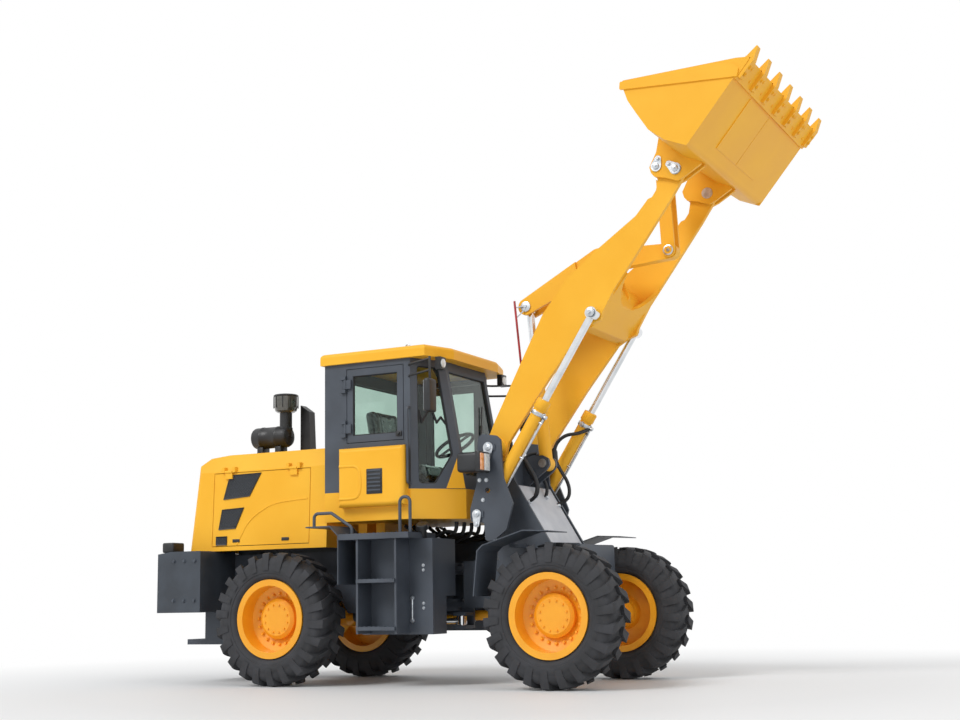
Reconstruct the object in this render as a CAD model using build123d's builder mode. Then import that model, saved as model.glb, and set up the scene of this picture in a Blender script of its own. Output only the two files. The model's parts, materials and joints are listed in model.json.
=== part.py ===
"""Articulated wheel loader, boom raised and bucket rolled back.

Millimetres, +X forward, +Y left, +Z up, ground at Z = 0.
Positions along the machine are measured from the front axle (front body)
or from the rear axle (rear body), and moved into the row frame by x_front and x_rear.
"""

import os
from math import atan2, degrees, hypot

from build123d import *

os.makedirs("parts", exist_ok=True)

# Overall sizes
WHEELBASE = 2694.0
TRACK = 1560.0
FRONT_X = 1087.0
REAR_X = FRONT_X - WHEELBASE
PIVOT_X = FRONT_X - WHEELBASE / 2

# Wheels and axles
TYRE_R = 585.0
TYRE_W = 410.0
RIM_R = 346.0
BEAD_R = 305.0
HUB_R = 178.0
SPINDLE_R = 60.0
FIT = 0.05
SEAT = 0.3
AXLE_Z = TYRE_R

# Loader linkage, from the front axle, in the raised pose of the photo
BOOM_PIVOT = (-670.0, 2005.0)
BUCKET_PIN = (1062.0, 4245.0)
ROCKER_PIVOT = (179.0, 3653.0)
ROCKER_TOP = (-528.0, 3310.0)
ROCKER_LOW = (830.0, 3662.0)
LINK_PIN = (801.0, 4341.0)
TILT_BASE = (-402.0, 1894.0)
LIFT_BASE = (-790.0, 1440.0)
LIFT_EYE = (285.0, 3090.0)
BOOM_IN = 400.0
BOOM_T = 45.0
LIFT_Y = 508.0
BARREL_R = 54.0
ROD_R = 32.0
PIN_R = 38.0
BUCKET_PIN_R = 50.0
LINK_PIN_R = 40.0
LINK_HEAD_R = 66.0
TOWER_IN = 355.0
TOWER_OUT = 575.0
PLATE_T = 25.0
ARCH_R = 430.0
ARCH_MID = (669.0, 3535.0)
ARCH_TILT = -51.2
BUCKET_HALF = 1040.0
TOOTH_COUNT = 7
SHELL_T = 20.0
EDGE_T = 18.0

# Articulation and steering
LUG_Z = (680.0, 1000.0)
LUG_R = 92.0
LUG_T = 40.0
STEER_BASE = (-620.0, 385.0)
STEER_EYE = (210.0, 250.0)
STEER_Z = 545.0

# Cab, hood and rear body, from the front axle and the rear axle
CAB_HALF = 750.0
CAB_REAR = -2240.0
CAB_B = -1355.0
CAB_FRONT_LOW = -1000.0
CAB_FRONT_TOP = -1200.0
CAB_FRONT_HALF = 400.0
CAB_FLOOR = 1420.0
CAB_SILL = 1680.0
CAB_TOP = 2830.0
ROOF_TOP = 2935.0
WALL = 55.0
HOOD_FRONT = 390.0
HOOD_REAR = -1165.0
HOOD_HALF = 630.0
HOOD_TOP = 2117.0
CW_REAR = -1440.0
CW_HALF = 860.0
CW_TOP = 1210.0
HOOD_LOW = CW_TOP + SEAT
HINGE_R = 7.0
HINGE_OUT = 18.0


def x_front(x):
    """Row X of a place measured from the front axle."""
    return FRONT_X + x


def x_rear(x):
    """Row X of a place measured from the rear axle."""
    return REAR_X + x


def block(x0, x1, y0, y1, z0, z1, mode=Mode.ADD):
    """Box between two corners."""
    with Locations(((x0 + x1) / 2, (y0 + y1) / 2, (z0 + z1) / 2)):
        Box(abs(x1 - x0), abs(y1 - y0), abs(z1 - z0), mode=mode)


def slab(points, y0, y1, mode=Mode.ADD, corner=0):
    """Side-view outline in row X and Z, its corners rounded if asked, carried from y0 to y1."""
    with BuildSketch(Plane.XZ.offset(-y0)) as outline:
        with BuildLine():
            if corner:
                FilletPolyline(*points, radius=corner, close=True)
            else:
                Polyline(*points, close=True)
        make_face()
    extrude(outline.sketch, amount=y0 - y1, mode=mode)


def plan(points, z0, z1, mode=Mode.ADD):
    """Plan outline in row X and Y, carried from z0 to z1."""
    with BuildSketch(Plane.XY.offset(z0)) as outline:
        with BuildLine():
            Polyline(*points, close=True)
        make_face()
    extrude(outline.sketch, amount=z1 - z0, mode=mode)


def pin_y(x, z, radius, y0, y1, mode=Mode.ADD):
    """Round bar along Y."""
    with Locations(Location((x, (y0 + y1) / 2, z), (90, 0, 0))):
        Cylinder(radius, abs(y1 - y0), mode=mode)


def pin_z(x, y, radius, z0, z1, mode=Mode.ADD):
    """Round bar along Z."""
    with Locations((x, y, (z0 + z1) / 2)):
        Cylinder(radius, abs(z1 - z0), mode=mode)


def pin_x(y, z, radius, x0, x1, mode=Mode.ADD):
    """Round bar along X."""
    with Locations(Location(((x0 + x1) / 2, y, z), (0, 90, 0))):
        Cylinder(radius, abs(x1 - x0), mode=mode)


def bar_between(a, b, y, radius, start, end, mode=Mode.ADD):
    """Round bar in the XZ plane at y, from start to end along the line a to b."""
    run = hypot(b[0] - a[0], b[1] - a[1])
    ux, uz = (b[0] - a[0]) / run, (b[1] - a[1]) / run
    mid = (start + end) / 2
    turn = 90 - degrees(atan2(uz, ux))
    with Locations(Location((a[0] + ux * mid, y, a[1] + uz * mid), (0, turn, 0))):
        Cylinder(radius, end - start, mode=mode)


def lobe(a, ra, b, rb, y0, y1, mode=Mode.ADD):
    """Plate round two pins: two discs and the tangent web between them."""
    with BuildSketch(Plane.XZ.offset(-y0)) as outline:
        with BuildLine():
            run = hypot(b[0] - a[0], b[1] - a[1])
            ux, uz = (b[0] - a[0]) / run, (b[1] - a[1]) / run
            Polyline(
                (a[0] - uz * ra, a[1] + ux * ra),
                (b[0] - uz * rb, b[1] + ux * rb),
                (b[0] + uz * rb, b[1] - ux * rb),
                (a[0] + uz * ra, a[1] - ux * ra),
                close=True,
            )
        make_face()
        with Locations(a):
            Circle(ra)
        with Locations(b):
            Circle(rb)
    extrude(outline.sketch, amount=y0 - y1, mode=mode)


def front_point(p):
    """Linkage point moved into the row frame."""
    return (x_front(p[0]), p[1])


A = front_point(BOOM_PIVOT)
BP = front_point(BUCKET_PIN)
RP = front_point(ROCKER_PIVOT)
RT = front_point(ROCKER_TOP)
RL = front_point(ROCKER_LOW)
LP = front_point(LINK_PIN)
TB = front_point(TILT_BASE)
LB = front_point(LIFT_BASE)
LE = front_point(LIFT_EYE)

# Wheels: one hub and dish with its rim, and one tyre, at each corner
for label, wheel_x, side in (
    ("front_right", FRONT_X, -1),
    ("front_left", FRONT_X, 1),
    ("rear_right", REAR_X, -1),
    ("rear_left", REAR_X, 1),
):
    middle = side * TRACK / 2

    with BuildPart() as rim:
        with BuildSketch(Plane.XY):
            with BuildLine():
                Polyline(
                    (BEAD_R, -170), (RIM_R, -170), (RIM_R, -150), (BEAD_R, -130),
                    (BEAD_R, 130), (RIM_R, 150), (RIM_R, 170), (BEAD_R - 14, 170),
                    (BEAD_R - 20, 20), (HUB_R, -10), (HUB_R, 40), (HUB_R - 30, 62),
                    (0, 62), (0, 30), (SPINDLE_R + FIT, 30), (SPINDLE_R + FIT, -110),
                    (130, -110), (150, -40), (BEAD_R - 20, -15), (BEAD_R - 14, -170),
                    close=True,
                )
            make_face()
        revolve(axis=Axis.Y, revolution_arc=360)
    rim_solid = rim.part if side > 0 else rim.part.mirror(Plane.XZ)
    with BuildPart() as wheel_rim:
        add(Location((wheel_x, middle, AXLE_Z)) * rim_solid)
    wheel_rim.part.label = f"{label}_rim"
    export_step(wheel_rim.part, f"parts/{label}_rim.step")

    with BuildPart() as tyre:
        with BuildSketch(Plane.XY):
            with BuildLine():
                half = TYRE_W / 2
                Polyline(
                    (BEAD_R + SEAT, -126), (BEAD_R + 22, -137), (RIM_R + 1, -148), (RIM_R + 8, -157),
                    (RIM_R + 22, -half + 28), (RIM_R + 80, -half), (TYRE_R - 90, -half),
                    (TYRE_R - 30, -half + 22), (TYRE_R, -half + 75), (TYRE_R, half - 75),
                    (TYRE_R - 30, half - 22), (TYRE_R - 90, half), (RIM_R + 80, half),
                    (RIM_R + 22, half - 28), (RIM_R + 8, 157), (RIM_R + 1, 148), (BEAD_R + 22, 137),
                    (BEAD_R + SEAT, 126),
                    close=True,
                )
            make_face()
        revolve(axis=Axis.Y, revolution_arc=360)
    with BuildPart() as wheel_tyre:
        add(Location((wheel_x, middle, AXLE_Z)) * tyre.part)
    wheel_tyre.part.label = f"{label}_tyre"
    export_step(wheel_tyre.part, f"parts/{label}_tyre.step")

# Axles: banjo housing, beam, spring pad and spindles that carry the hubs
for label, axle_x, pad_top, shaft_x in (
    ("front_axle", FRONT_X, 760.0, PIVOT_X + 150),
    ("rear_axle", REAR_X, 780.0, REAR_X + 300),
):
    with BuildPart() as axle:
        spindle_end = TRACK / 2 + 24
        pin_y(axle_x, AXLE_Z, 95, -TRACK / 2 + 150, TRACK / 2 - 150)
        pin_y(axle_x, AXLE_Z, SPINDLE_R, -spindle_end, spindle_end)
        pin_y(axle_x, AXLE_Z, 185, -110, 110)
        pin_y(axle_x, AXLE_Z, 125, -TRACK / 2 + 150, -TRACK / 2 + 230)
        pin_y(axle_x, AXLE_Z, 125, TRACK / 2 - 230, TRACK / 2 - 150)
        pin_x(0, AXLE_Z, 80, axle_x - 240, axle_x + 240)
        pin_x(0, AXLE_Z, 45, axle_x, shaft_x)
        for y in (-365, 365):
            block(axle_x - 110, axle_x + 110, y - 60, y + 60, AXLE_Z, pad_top)
    axle.part.label = label
    export_step(axle.part, f"parts/{label}.step")

# Front frame: inner and outer tower plates, cross boxes, pins, hinge lugs
tower_top = [(-775, 2095), (-735, 2125), (-600, 2105), (-560, 2070)]
with BuildPart() as front_frame:
    inner = tower_top + [
        (-540, 1735), (-215, 1190), (60, 1176), (60, 760), (-330, 760), (-420, 640),
        (-700, 640), (-700, 1060), (-740, 1200), (-750, 1900),
    ]
    outer = tower_top + [
        (-540, 1735), (-455, 1520), (-520, 1300), (-640, 1215), (-720, 1215),
        (-725, 1365), (-858, 1385), (-858, 1490), (-795, 1700),
    ]
    for side in (-1, 1):
        slab([front_point(p) for p in inner], side * TOWER_IN, side * (TOWER_IN + PLATE_T), corner=18)
        slab([front_point(p) for p in outer], side * TOWER_OUT, side * (TOWER_OUT + PLATE_T), corner=22)
        web0, web1 = side * (TOWER_IN + 5), side * (TOWER_OUT + 5)
        block(x_front(-700), x_front(-640), web0, web1, 1215, 1245)
        pin_y(*A, PIN_R, side * (TOWER_IN + 5), side * (TOWER_OUT + PLATE_T + 20))
        pin_y(*LB, 30, side * (TOWER_IN + 5), side * (TOWER_OUT + PLATE_T + 20))
        for at in (A, LB):
            keeper0, keeper1 = side * (TOWER_OUT + 20), side * (TOWER_OUT + 36)
            block(at[0] - 60, at[0] + 60, keeper0, keeper1, at[1] - 26, at[1] + 26)
    block(x_front(-740), x_front(-590), -TOWER_IN - 5, TOWER_IN + 5, 1640, 1960)
    slab(
        [front_point(p) for p in [(-560, 1700), (-535, 1700), (-215, 1160), (-240, 1145)]],
        -TOWER_IN - 5, TOWER_IN + 5,
    )
    block(x_front(20), x_front(60), -TOWER_IN - 5, TOWER_IN + 5, 780, 1170)
    block(x_front(-300), x_front(40), -TOWER_IN - 5, TOWER_IN + 5, 1140, 1170)
    block(x_front(-700), x_front(-670), -TOWER_IN - 5, TOWER_IN + 5, 650, 1060)
    block(PIVOT_X + 175, x_front(-690), -150, 150, 650, 1060)
    for side in (-1, 1):
        slab(
            [(TB[0] - 190, TB[1] + 60), (TB[0], TB[1] + 70), (TB[0] + 55, TB[1] + 40),
             (TB[0] + 65, TB[1] - 20), (TB[0] + 30, TB[1] - 65), (TB[0] - 190, TB[1] - 230)],
            side * 62, side * 90,
        )
        pin_y(*TB, PIN_R + FIT, side * 50, side * 100, Mode.SUBTRACT)
        eye_x, eye_y = PIVOT_X + STEER_EYE[0], side * STEER_EYE[1]
        for z0 in (STEER_Z - 70, STEER_Z + 42):
            block(eye_x - 60, eye_x + 60, side * 120, eye_y + side * 60, z0, z0 + 28)
        block(eye_x - 60, eye_x + 60, side * 120, side * 145, STEER_Z - 70, 670)
    for z in LUG_Z:
        pin_z(PIVOT_X, 0, LUG_R, z - LUG_T / 2, z + LUG_T / 2)
        block(PIVOT_X, PIVOT_X + 180, -LUG_R, LUG_R, z - LUG_T / 2, z + LUG_T / 2)
        pin_z(PIVOT_X, 0, 35 + FIT, z - LUG_T, z + LUG_T, Mode.SUBTRACT)
    for side in (-1, 1):
        lift_eye = (side * (TOWER_OUT - 20), side * (TOWER_OUT + PLATE_T + 30))
        pin_y(x_front(-690), 1640, 24, *lift_eye, Mode.SUBTRACT)
front_frame.part.label = "front_frame"
export_step(front_frame.part, "parts/front_frame.step")

# Front mudguards over the front wheels, on brackets from the frame
with BuildPart() as front_fenders:
    path = [(-650, 750), (-610, 1120), (-560, 1165), (-190, 1275), (40, 1262)]
    under = [(40, 1254), (-191, 1267), (-554, 1158), (-602, 1115), (-642, 750)]
    for side in (-1, 1):
        slab([front_point(p) for p in path + under], side * 606, side * 985)
        block(x_front(-480), x_front(-420), side * (TOWER_IN + PLATE_T), side * 640, 1150, 1175)
        block(x_front(-480), x_front(-440), side * 606, side * 640, 1150, 1192)
front_fenders.part.label = "front_fenders"
export_step(front_fenders.part, "parts/front_fenders.step")

# Head lamps on arms from the tower
with BuildPart() as headlamps:
    for side in (-1, 1):
        block(x_front(-880), x_front(-640), side * 640, side * 830, 1780, 1960)
        block(x_front(-780), x_front(-740), side * (TOWER_OUT + PLATE_T), side * 650, 1840, 1880)
headlamps.part.label = "headlamps"
export_step(headlamps.part, "parts/headlamps.step")

# Boom: two plates, a cross box with an arched front plate, rocker lugs
with BuildPart() as boom:
    boom_outline = [
        (-790, 2020), (-682, 2252), (-415, 2753), (-199, 3153), (40, 3440), (311, 3646),
        (682, 3899), (797, 4030), (832, 4040), (872, 4095), (895, 4215), (975, 4335), (1105, 4335),
        (1150, 4225), (985, 3985), (599, 3472), (465, 3295), (353, 3108), (330, 3040),
        (240, 3010), (152, 2960), (-168, 2570), (-560, 2050), (-600, 1900), (-720, 1890),
    ]
    for side in (-1, 1):
        slab([front_point(p) for p in boom_outline], side * BOOM_IN, side * (BOOM_IN + BOOM_T), corner=24)
    cross_box = [(130, 2975), (235, 2992), (405, 3205), (380, 3330), (330, 3425), (250, 3400), (70, 3110)]
    slab([front_point(p) for p in cross_box], -BOOM_IN - 10, BOOM_IN + 10, corner=25)
    with BuildPart(mode=Mode.PRIVATE) as arch_plate:
        arch = [(392, 3190), (640, 3500), (612, 3522), (364, 3212)]
        slab([front_point(p) for p in arch], -BOOM_IN - 5, BOOM_IN + 5)
        with Locations(Location((x_front(ARCH_MID[0]), 0, ARCH_MID[1]), (0, ARCH_TILT, 0))):
            Cylinder(ARCH_R, 400, mode=Mode.SUBTRACT)
    add(arch_plate.part)
    for side in (-1, 1):
        lobe(front_point((320, 3330)), 80, RP, 80, side * 75, side * 105)
        pin_y(*RP, 35 + FIT, side * 60, side * 120, Mode.SUBTRACT)
        for at, radius in ((A, PIN_R), (BP, BUCKET_PIN_R)):
            pin_y(*at, radius + FIT, side * (BOOM_IN - 30), side * (BOOM_IN + BOOM_T + 30), Mode.SUBTRACT)
boom.part.label = "boom"
export_step(boom.part, "parts/boom.step")

# Pins that carry the linkage, each a body of its own
with BuildPart() as rocker_pin:
    pin_y(*RP, 35, -112, 112)
rocker_pin.part.label = "rocker_pin"
export_step(rocker_pin.part, "parts/rocker_pin.step")

with BuildPart() as link_pin:
    pin_y(*LP, LINK_PIN_R, -78, 78)
    for side in (-1, 1):
        pin_y(*LP, LINK_HEAD_R, side * (76 + SEAT), side * 92)
link_pin.part.label = "link_pin"
export_step(link_pin.part, "parts/link_pin.step")

with BuildPart() as tilt_pin:
    pin_y(*TB, PIN_R, -96, 96)
tilt_pin.part.label = "tilt_pin"
export_step(tilt_pin.part, "parts/tilt_pin.step")

with BuildPart() as bucket_pins:
    for side in (-1, 1):
        pin_y(*BP, BUCKET_PIN_R, side * 360, side * 488)
bucket_pins.part.label = "bucket_pins"
export_step(bucket_pins.part, "parts/bucket_pins.step")

# Rocker: bent lever, forked at its upper end for the tilt rod
with BuildPart() as rocker:
    lobe(RP, 110, RT, 75, -88, 88)
    lobe(RP, 100, RL, 66, -48, 48)
    pin_y(*RP, 215, 68, 120, Mode.SUBTRACT)
    pin_y(*RP, 215, -120, -68, Mode.SUBTRACT)
    fork_root = (RT[0] + (RP[0] - RT[0]) * 0.42, RT[1] + (RP[1] - RT[1]) * 0.42)
    lobe(RT, 130, fork_root, 130, -55, 55, Mode.SUBTRACT)
    pin_y(*RP, 35 + FIT, -130, 130, Mode.SUBTRACT)
rocker.part.label = "rocker"
export_step(rocker.part, "parts/rocker.step")

# Link: a bar each side of the rocker, hung from the bucket lug
with BuildPart() as link:
    for side in (-1, 1):
        lobe(RL, 58, LP, 58, side * 52, side * 76)
        pin_y(*LP, LINK_PIN_R + FIT, side * 40, side * 90, Mode.SUBTRACT)
        pin_y(*RL, 34, side * 70, side * 84)
link.part.label = "link"
export_step(link.part, "parts/link.step")

# Bucket: curved shell, side plates with edge strips, ears for the boom and a lug for the link
back = [(1880, 4880), (1345, 4245), (1160, 4325), (1030, 4430), (930, 4590), (865, 4700), (812, 4862)]
rim_strip = [(806, 4868), (800, 4802), (1785, 4734), (1800, 4800), (1760, 4846), (1598, 4878)]
ear = [
    (832, 4290), (846, 4238), (872, 4204), (970, 4181), (1070, 4140), (1131, 4163),
    (1300, 4262), (1165, 4335), (1036, 4440), (936, 4590), (898, 4413),
]
link_lug = [
    (735, 4330), (760, 4285), (810, 4272), (960, 4330), (1050, 4420), (950, 4600), (800, 4410), (750, 4385),
]
lip, heel = back[0], back[1]
floor_run = hypot(lip[0] - heel[0], lip[1] - heel[1])
floor_u = ((lip[0] - heel[0]) / floor_run, (lip[1] - heel[1]) / floor_run)


def on_lip(along, below):
    """Point measured along the floor from the lip, and out below it."""
    return front_point((
        lip[0] + along * floor_u[0] + below * floor_u[1],
        lip[1] + along * floor_u[1] - below * floor_u[0],
    ))


with BuildPart() as bucket:
    with BuildSketch(Plane.XZ.offset(BUCKET_HALF - 12)) as shell:
        with BuildLine():
            FilletPolyline(*[front_point(p) for p in back], radius=60)
            offset(amount=SHELL_T, side=Side.RIGHT, closed=True)
        make_face()
    extrude(shell.sketch, amount=-2 * (BUCKET_HALF - 12))
    side_plate = back[:-1] + [(812, 4862), (832, 4880), (1780, 4890)]
    for side in (-1, 1):
        cheek0, cheek1 = side * (BUCKET_HALF - 40), side * (BUCKET_HALF - 12)
        slab([front_point(p) for p in side_plate], cheek0, cheek1, corner=15)
        slab([front_point(p) for p in rim_strip], side * (BUCKET_HALF - 13), side * BUCKET_HALF, corner=12)
        for y0, y1 in ((365, 393), (452, 480)):
            slab([front_point(p) for p in ear], side * y0, side * y1, corner=16)
        pin_y(*BP, BUCKET_PIN_R + FIT, side * 340, side * 500, Mode.SUBTRACT)
    slab([front_point(p) for p in link_lug], -45, 45, corner=18)
    pin_y(*LP, LINK_PIN_R + FIT, -60, 60, Mode.SUBTRACT)
    edge = [on_lip(*p) for p in [(-195, -2), (2, -2), (2, EDGE_T - 10), (-8, EDGE_T), (-195, EDGE_T)]]
    slab(edge, -BUCKET_HALF + 12, BUCKET_HALF - 12)
    for y in (-530, 4):
        slab([on_lip(*p) for p in [(-700, -2), (-215, -2), (-215, 8), (-690, 8)]], y, y + 526)
bucket.part.label = "bucket"
export_step(bucket.part, "parts/bucket.step")

# Teeth, seated on the cutting edge
with BuildPart() as bucket_teeth:
    under = EDGE_T + SEAT
    front = 2 + SEAT
    tooth = [(-175, under), (-168, 44), (0, 50), (110, 12), (110, 2), (4, -18), (front, -16), (front, under)]
    pitch = (2 * BUCKET_HALF - 110) / (TOOTH_COUNT - 1)
    for i in range(TOOTH_COUNT):
        y = -BUCKET_HALF + 55 + i * pitch
        slab(
            [on_lip(*p) for p in tooth],
            y - 38, y + 38,
        )
bucket_teeth.part.label = "bucket_teeth"
export_step(bucket_teeth.part, "parts/bucket_teeth.step")

# Tilt cylinder at the centre
tilt_run = hypot(RT[0] - TB[0], RT[1] - TB[1])
with BuildPart() as tilt_barrel:
    pin_y(*TB, 62, -48, 48)
    bar_between(TB, RT, 0, 58, 30, 900)
    bar_between(TB, RT, 0, ROD_R + 3 + FIT, 120, 920, Mode.SUBTRACT)
    pin_y(*TB, PIN_R + FIT, -60, 60, Mode.SUBTRACT)
tilt_barrel.part.label = "tilt_barrel"
export_step(tilt_barrel.part, "parts/tilt_barrel.step")

with BuildPart() as tilt_rod:
    bar_between(TB, RT, 0, ROD_R + 3, tilt_run - 900, tilt_run)
    pin_y(*RT, 58, -48, 48)
    pin_y(*RT, 30, -54.5, 54.5)
tilt_rod.part.label = "tilt_rod"
export_step(tilt_rod.part, "parts/tilt_rod.step")

# Lift cylinders, one each side between the tower plates
lift_run = hypot(LE[0] - LB[0], LE[1] - LB[1])
with BuildPart() as lift_barrels:
    for side in (-1, 1):
        y = side * LIFT_Y
        pin_y(*LB, 58, y - 42, y + 42)
        bar_between(LB, LE, y, BARREL_R, 30, 1130)
        bar_between(LB, LE, y, ROD_R + FIT, 110, 1140, Mode.SUBTRACT)
        pin_y(*LB, 30 + FIT, y - 60, y + 60, Mode.SUBTRACT)
lift_barrels.part.label = "lift_barrels"
export_step(lift_barrels.part, "parts/lift_barrels.step")

with BuildPart() as lift_rods:
    for side in (-1, 1):
        y = side * LIFT_Y
        bar_between(LB, LE, y, ROD_R, lift_run - 1130, lift_run)
        pin_y(*LE, 52, y - 42, y + 42)
        pin_y(*LE, 30, side * (BOOM_IN + BOOM_T + SEAT), side * (LIFT_Y + 56))
lift_rods.part.label = "lift_rods"
export_step(lift_rods.part, "parts/lift_rods.step")

# Steering cylinders, low between the two frames
for label, side in (("right", -1), ("left", 1)):
    base = (PIVOT_X + STEER_BASE[0], side * STEER_BASE[1])
    eye = (PIVOT_X + STEER_EYE[0], side * STEER_EYE[1])
    run = hypot(eye[0] - base[0], eye[1] - base[1])
    turn = degrees(atan2(eye[1] - base[1], eye[0] - base[0]))
    with BuildPart() as steer_barrel:
        with Locations(Location((base[0], base[1], STEER_Z), (0, 0, turn))):
            with Locations(Location((270, 0, 0), (0, 90, 0))):
                Cylinder(42, 380)
            with Locations(Location((60, 0, 0), (0, 90, 0))):
                Cylinder(30, 120)
            with Locations(Location((285, 0, 0), (0, 90, 0))):
                Cylinder(22 + FIT, 400, mode=Mode.SUBTRACT)
        pin_z(*base, 45, STEER_Z - 36, STEER_Z + 36)
        pin_z(*base, 24 + FIT, STEER_Z - 60, STEER_Z + 60, Mode.SUBTRACT)
    steer_barrel.part.label = f"steer_barrel_{label}"
    export_step(steer_barrel.part, f"parts/steer_barrel_{label}.step")
    with BuildPart() as steer_rod:
        with Locations(Location((base[0], base[1], STEER_Z), (0, 0, turn))):
            with Locations(Location((run - 280, 0, 0), (0, 90, 0))):
                Cylinder(22, 560)
        pin_z(*eye, 42, STEER_Z - 36, STEER_Z + 36)
        pin_z(*eye, 22, STEER_Z - 41, STEER_Z + 41)
    steer_rod.part.label = f"steer_rod_{label}"
    export_step(steer_rod.part, f"parts/steer_rod_{label}.step")

# Rear frame: side plates, hinge lugs with their pins, tow plate
with BuildPart() as rear_frame:
    nose = PIVOT_X - 215
    rail = [
        (nose, 620), (nose, 1070), (nose - 300, 1180), (x_rear(-1180), 1180), (x_rear(-1180), 700),
        (x_rear(-420), 700), (x_rear(-330), 780), (x_rear(330), 780), (x_rear(430), 620),
    ]
    for side in (-1, 1):
        slab(rail, side * 300, side * 330)
        base = (PIVOT_X + STEER_BASE[0], side * STEER_BASE[1])
        for z0 in (STEER_Z - 64, STEER_Z + 38):
            block(base[0] - 70, base[0] + 60, side * 330, side * 450, z0, z0 + 26)
        block(base[0] - 110, base[0] - 62, side * 305, side * 450, STEER_Z - 64, 660)
        block(base[0] - 110, base[0] + 60, side * 305, side * 335, STEER_Z - 64, 660)
        pin_z(*base, 24, STEER_Z - 60, STEER_Z + 60)
    block(nose, nose + 32, -330, 330, 620, 1070)
    block(x_rear(-1180), x_rear(-1140), -305, 305, 700, 1180)
    for x in (x_rear(-820), x_rear(120), x_rear(640)):
        block(x, x + 60, -305, 305, 790, 820)
    block(x_rear(-1180), x_rear(-960), -330, 330, 390, 640)
    block(x_rear(-1180), x_rear(-960), -330, 330, 630, 705)
    block(x_rear(-1390), x_rear(-960), -330, 330, 345, 395)
    pin_z(x_rear(-1340), 0, 21, 330, 410, Mode.SUBTRACT)
    for z in LUG_Z:
        for z0 in (z - LUG_T / 2 - 31, z + LUG_T / 2 + 1):
            pin_z(PIVOT_X, 0, LUG_R, z0, z0 + 30)
            block(nose + 10, PIVOT_X, -LUG_R, LUG_R, z0, z0 + 30)
        pin_z(PIVOT_X, 0, 35, z - LUG_T / 2 - 31, z + LUG_T / 2 + 31)
rear_frame.part.label = "rear_frame"
export_step(rear_frame.part, "parts/rear_frame.step")

# Counterweight wrapped round the tail of the frame, with a bumper ledge and cut corners
with BuildPart() as counterweight:
    tail = [
        (-835, CW_TOP), (-1180, CW_TOP), (CW_REAR + 30, CW_TOP - 30), (CW_REAR + 52, 885), (CW_REAR, 830),
        (CW_REAR + 8, 720), (CW_REAR + 95, 650), (-835, 650),
    ]
    slab([(x_rear(x), z) for x, z in tail], -CW_HALF, CW_HALF, corner=14)
    inner = 330 + SEAT
    block(x_rear(-1180) - SEAT, x_rear(-800), -inner, inner, 600, CW_TOP + 50, Mode.SUBTRACT)
    for side in (-1, 1):
        corner = [(CW_REAR - 10, CW_HALF + 10), (CW_REAR - 10, CW_HALF - 240), (CW_REAR + 115, CW_HALF + 10)]
        plan([(x_rear(x), side * y) for x, y in corner], 600, CW_TOP + 50, Mode.SUBTRACT)
counterweight.part.label = "counterweight"
export_step(counterweight.part, "parts/counterweight.step")

# Engine, one plain block, and the transmission with its shafts
with BuildPart() as engine_block:
    block(x_rear(-860), x_rear(260), -240, 240, 820, 1700)
engine_block.part.label = "engine_block"
export_step(engine_block.part, "parts/engine_block.step")

with BuildPart() as transmission:
    block(x_rear(320), x_rear(920), -220, 220, 820, 1150)
    block(x_rear(430), x_rear(620), -160, 160, 500, 830)
    pin_x(0, AXLE_Z - 20, 45, x_rear(610), PIVOT_X - 130)
    pin_x(0, AXLE_Z, 45, x_rear(300) + SEAT, x_rear(440))
transmission.part.label = "transmission"
export_step(transmission.part, "parts/transmission.step")

# Hood shell with door openings cut in both sides and a grille opening behind
DOOR_REAR, DOOR_FRONT = -885.0, 205.0
DOOR_LOW, DOOR_TOP = 1250.0, 1940.0
SKIN = 28.0
TAIL_LEAN = 0.0985
HOOD_HINGE = (HOOD_HALF - 30 + HINGE_OUT, DOOR_TOP + 5)
HOOD_HINGE_X = (x_rear(DOOR_REAR + 180), x_rear(DOOR_FRONT - 180))


def hood_section(inset):
    """Hood cross section, pulled in by inset."""
    return [
        (-HOOD_HALF + inset, HOOD_LOW), (-HOOD_HALF + 30 + inset, 1950 - inset * 0.3),
        (-HOOD_HALF + 130 + inset * 0.6, HOOD_TOP - inset), (HOOD_HALF - 130 - inset * 0.6, HOOD_TOP - inset),
        (HOOD_HALF - 30 - inset, 1950 - inset * 0.3), (HOOD_HALF - inset, HOOD_LOW),
    ]


def hood_prism(inset, x0, x1, mode=Mode.ADD):
    """Hood section carried along X."""
    with BuildSketch(Plane.YZ.offset(x0)) as outline:
        with BuildLine():
            Polyline(*hood_section(inset), close=True)
        make_face()
    extrude(outline.sketch, amount=x1 - x0, mode=mode)


def tail_x(z):
    """Place of the leaning tail face, from the rear axle, at a level."""
    return HOOD_REAR + (z - HOOD_LOW) * TAIL_LEAN


def trim_tail(inset):
    """Cuts away what stands behind the leaning tail face and its rounded top, pulled in by inset."""
    top = HOOD_TOP - inset
    behind = HOOD_REAR - 100
    slab(
        [(x_rear(x), z) for x, z in [
            (behind, HOOD_LOW - 50), (tail_x(HOOD_LOW - 50) + inset, HOOD_LOW - 50),
            (tail_x(top - 98) + inset, top - 98), (tail_x(top) + 91 + inset, top - 22),
            (tail_x(top) + 300, top), (tail_x(top) + 300, top + 100), (behind, top + 100),
        ]],
        -HOOD_HALF - 50, HOOD_HALF + 50, Mode.SUBTRACT,
    )


with BuildPart() as hood_cavity:
    hood_prism(SKIN, x_rear(HOOD_REAR), x_rear(HOOD_FRONT - SKIN))
    trim_tail(SKIN)

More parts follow.
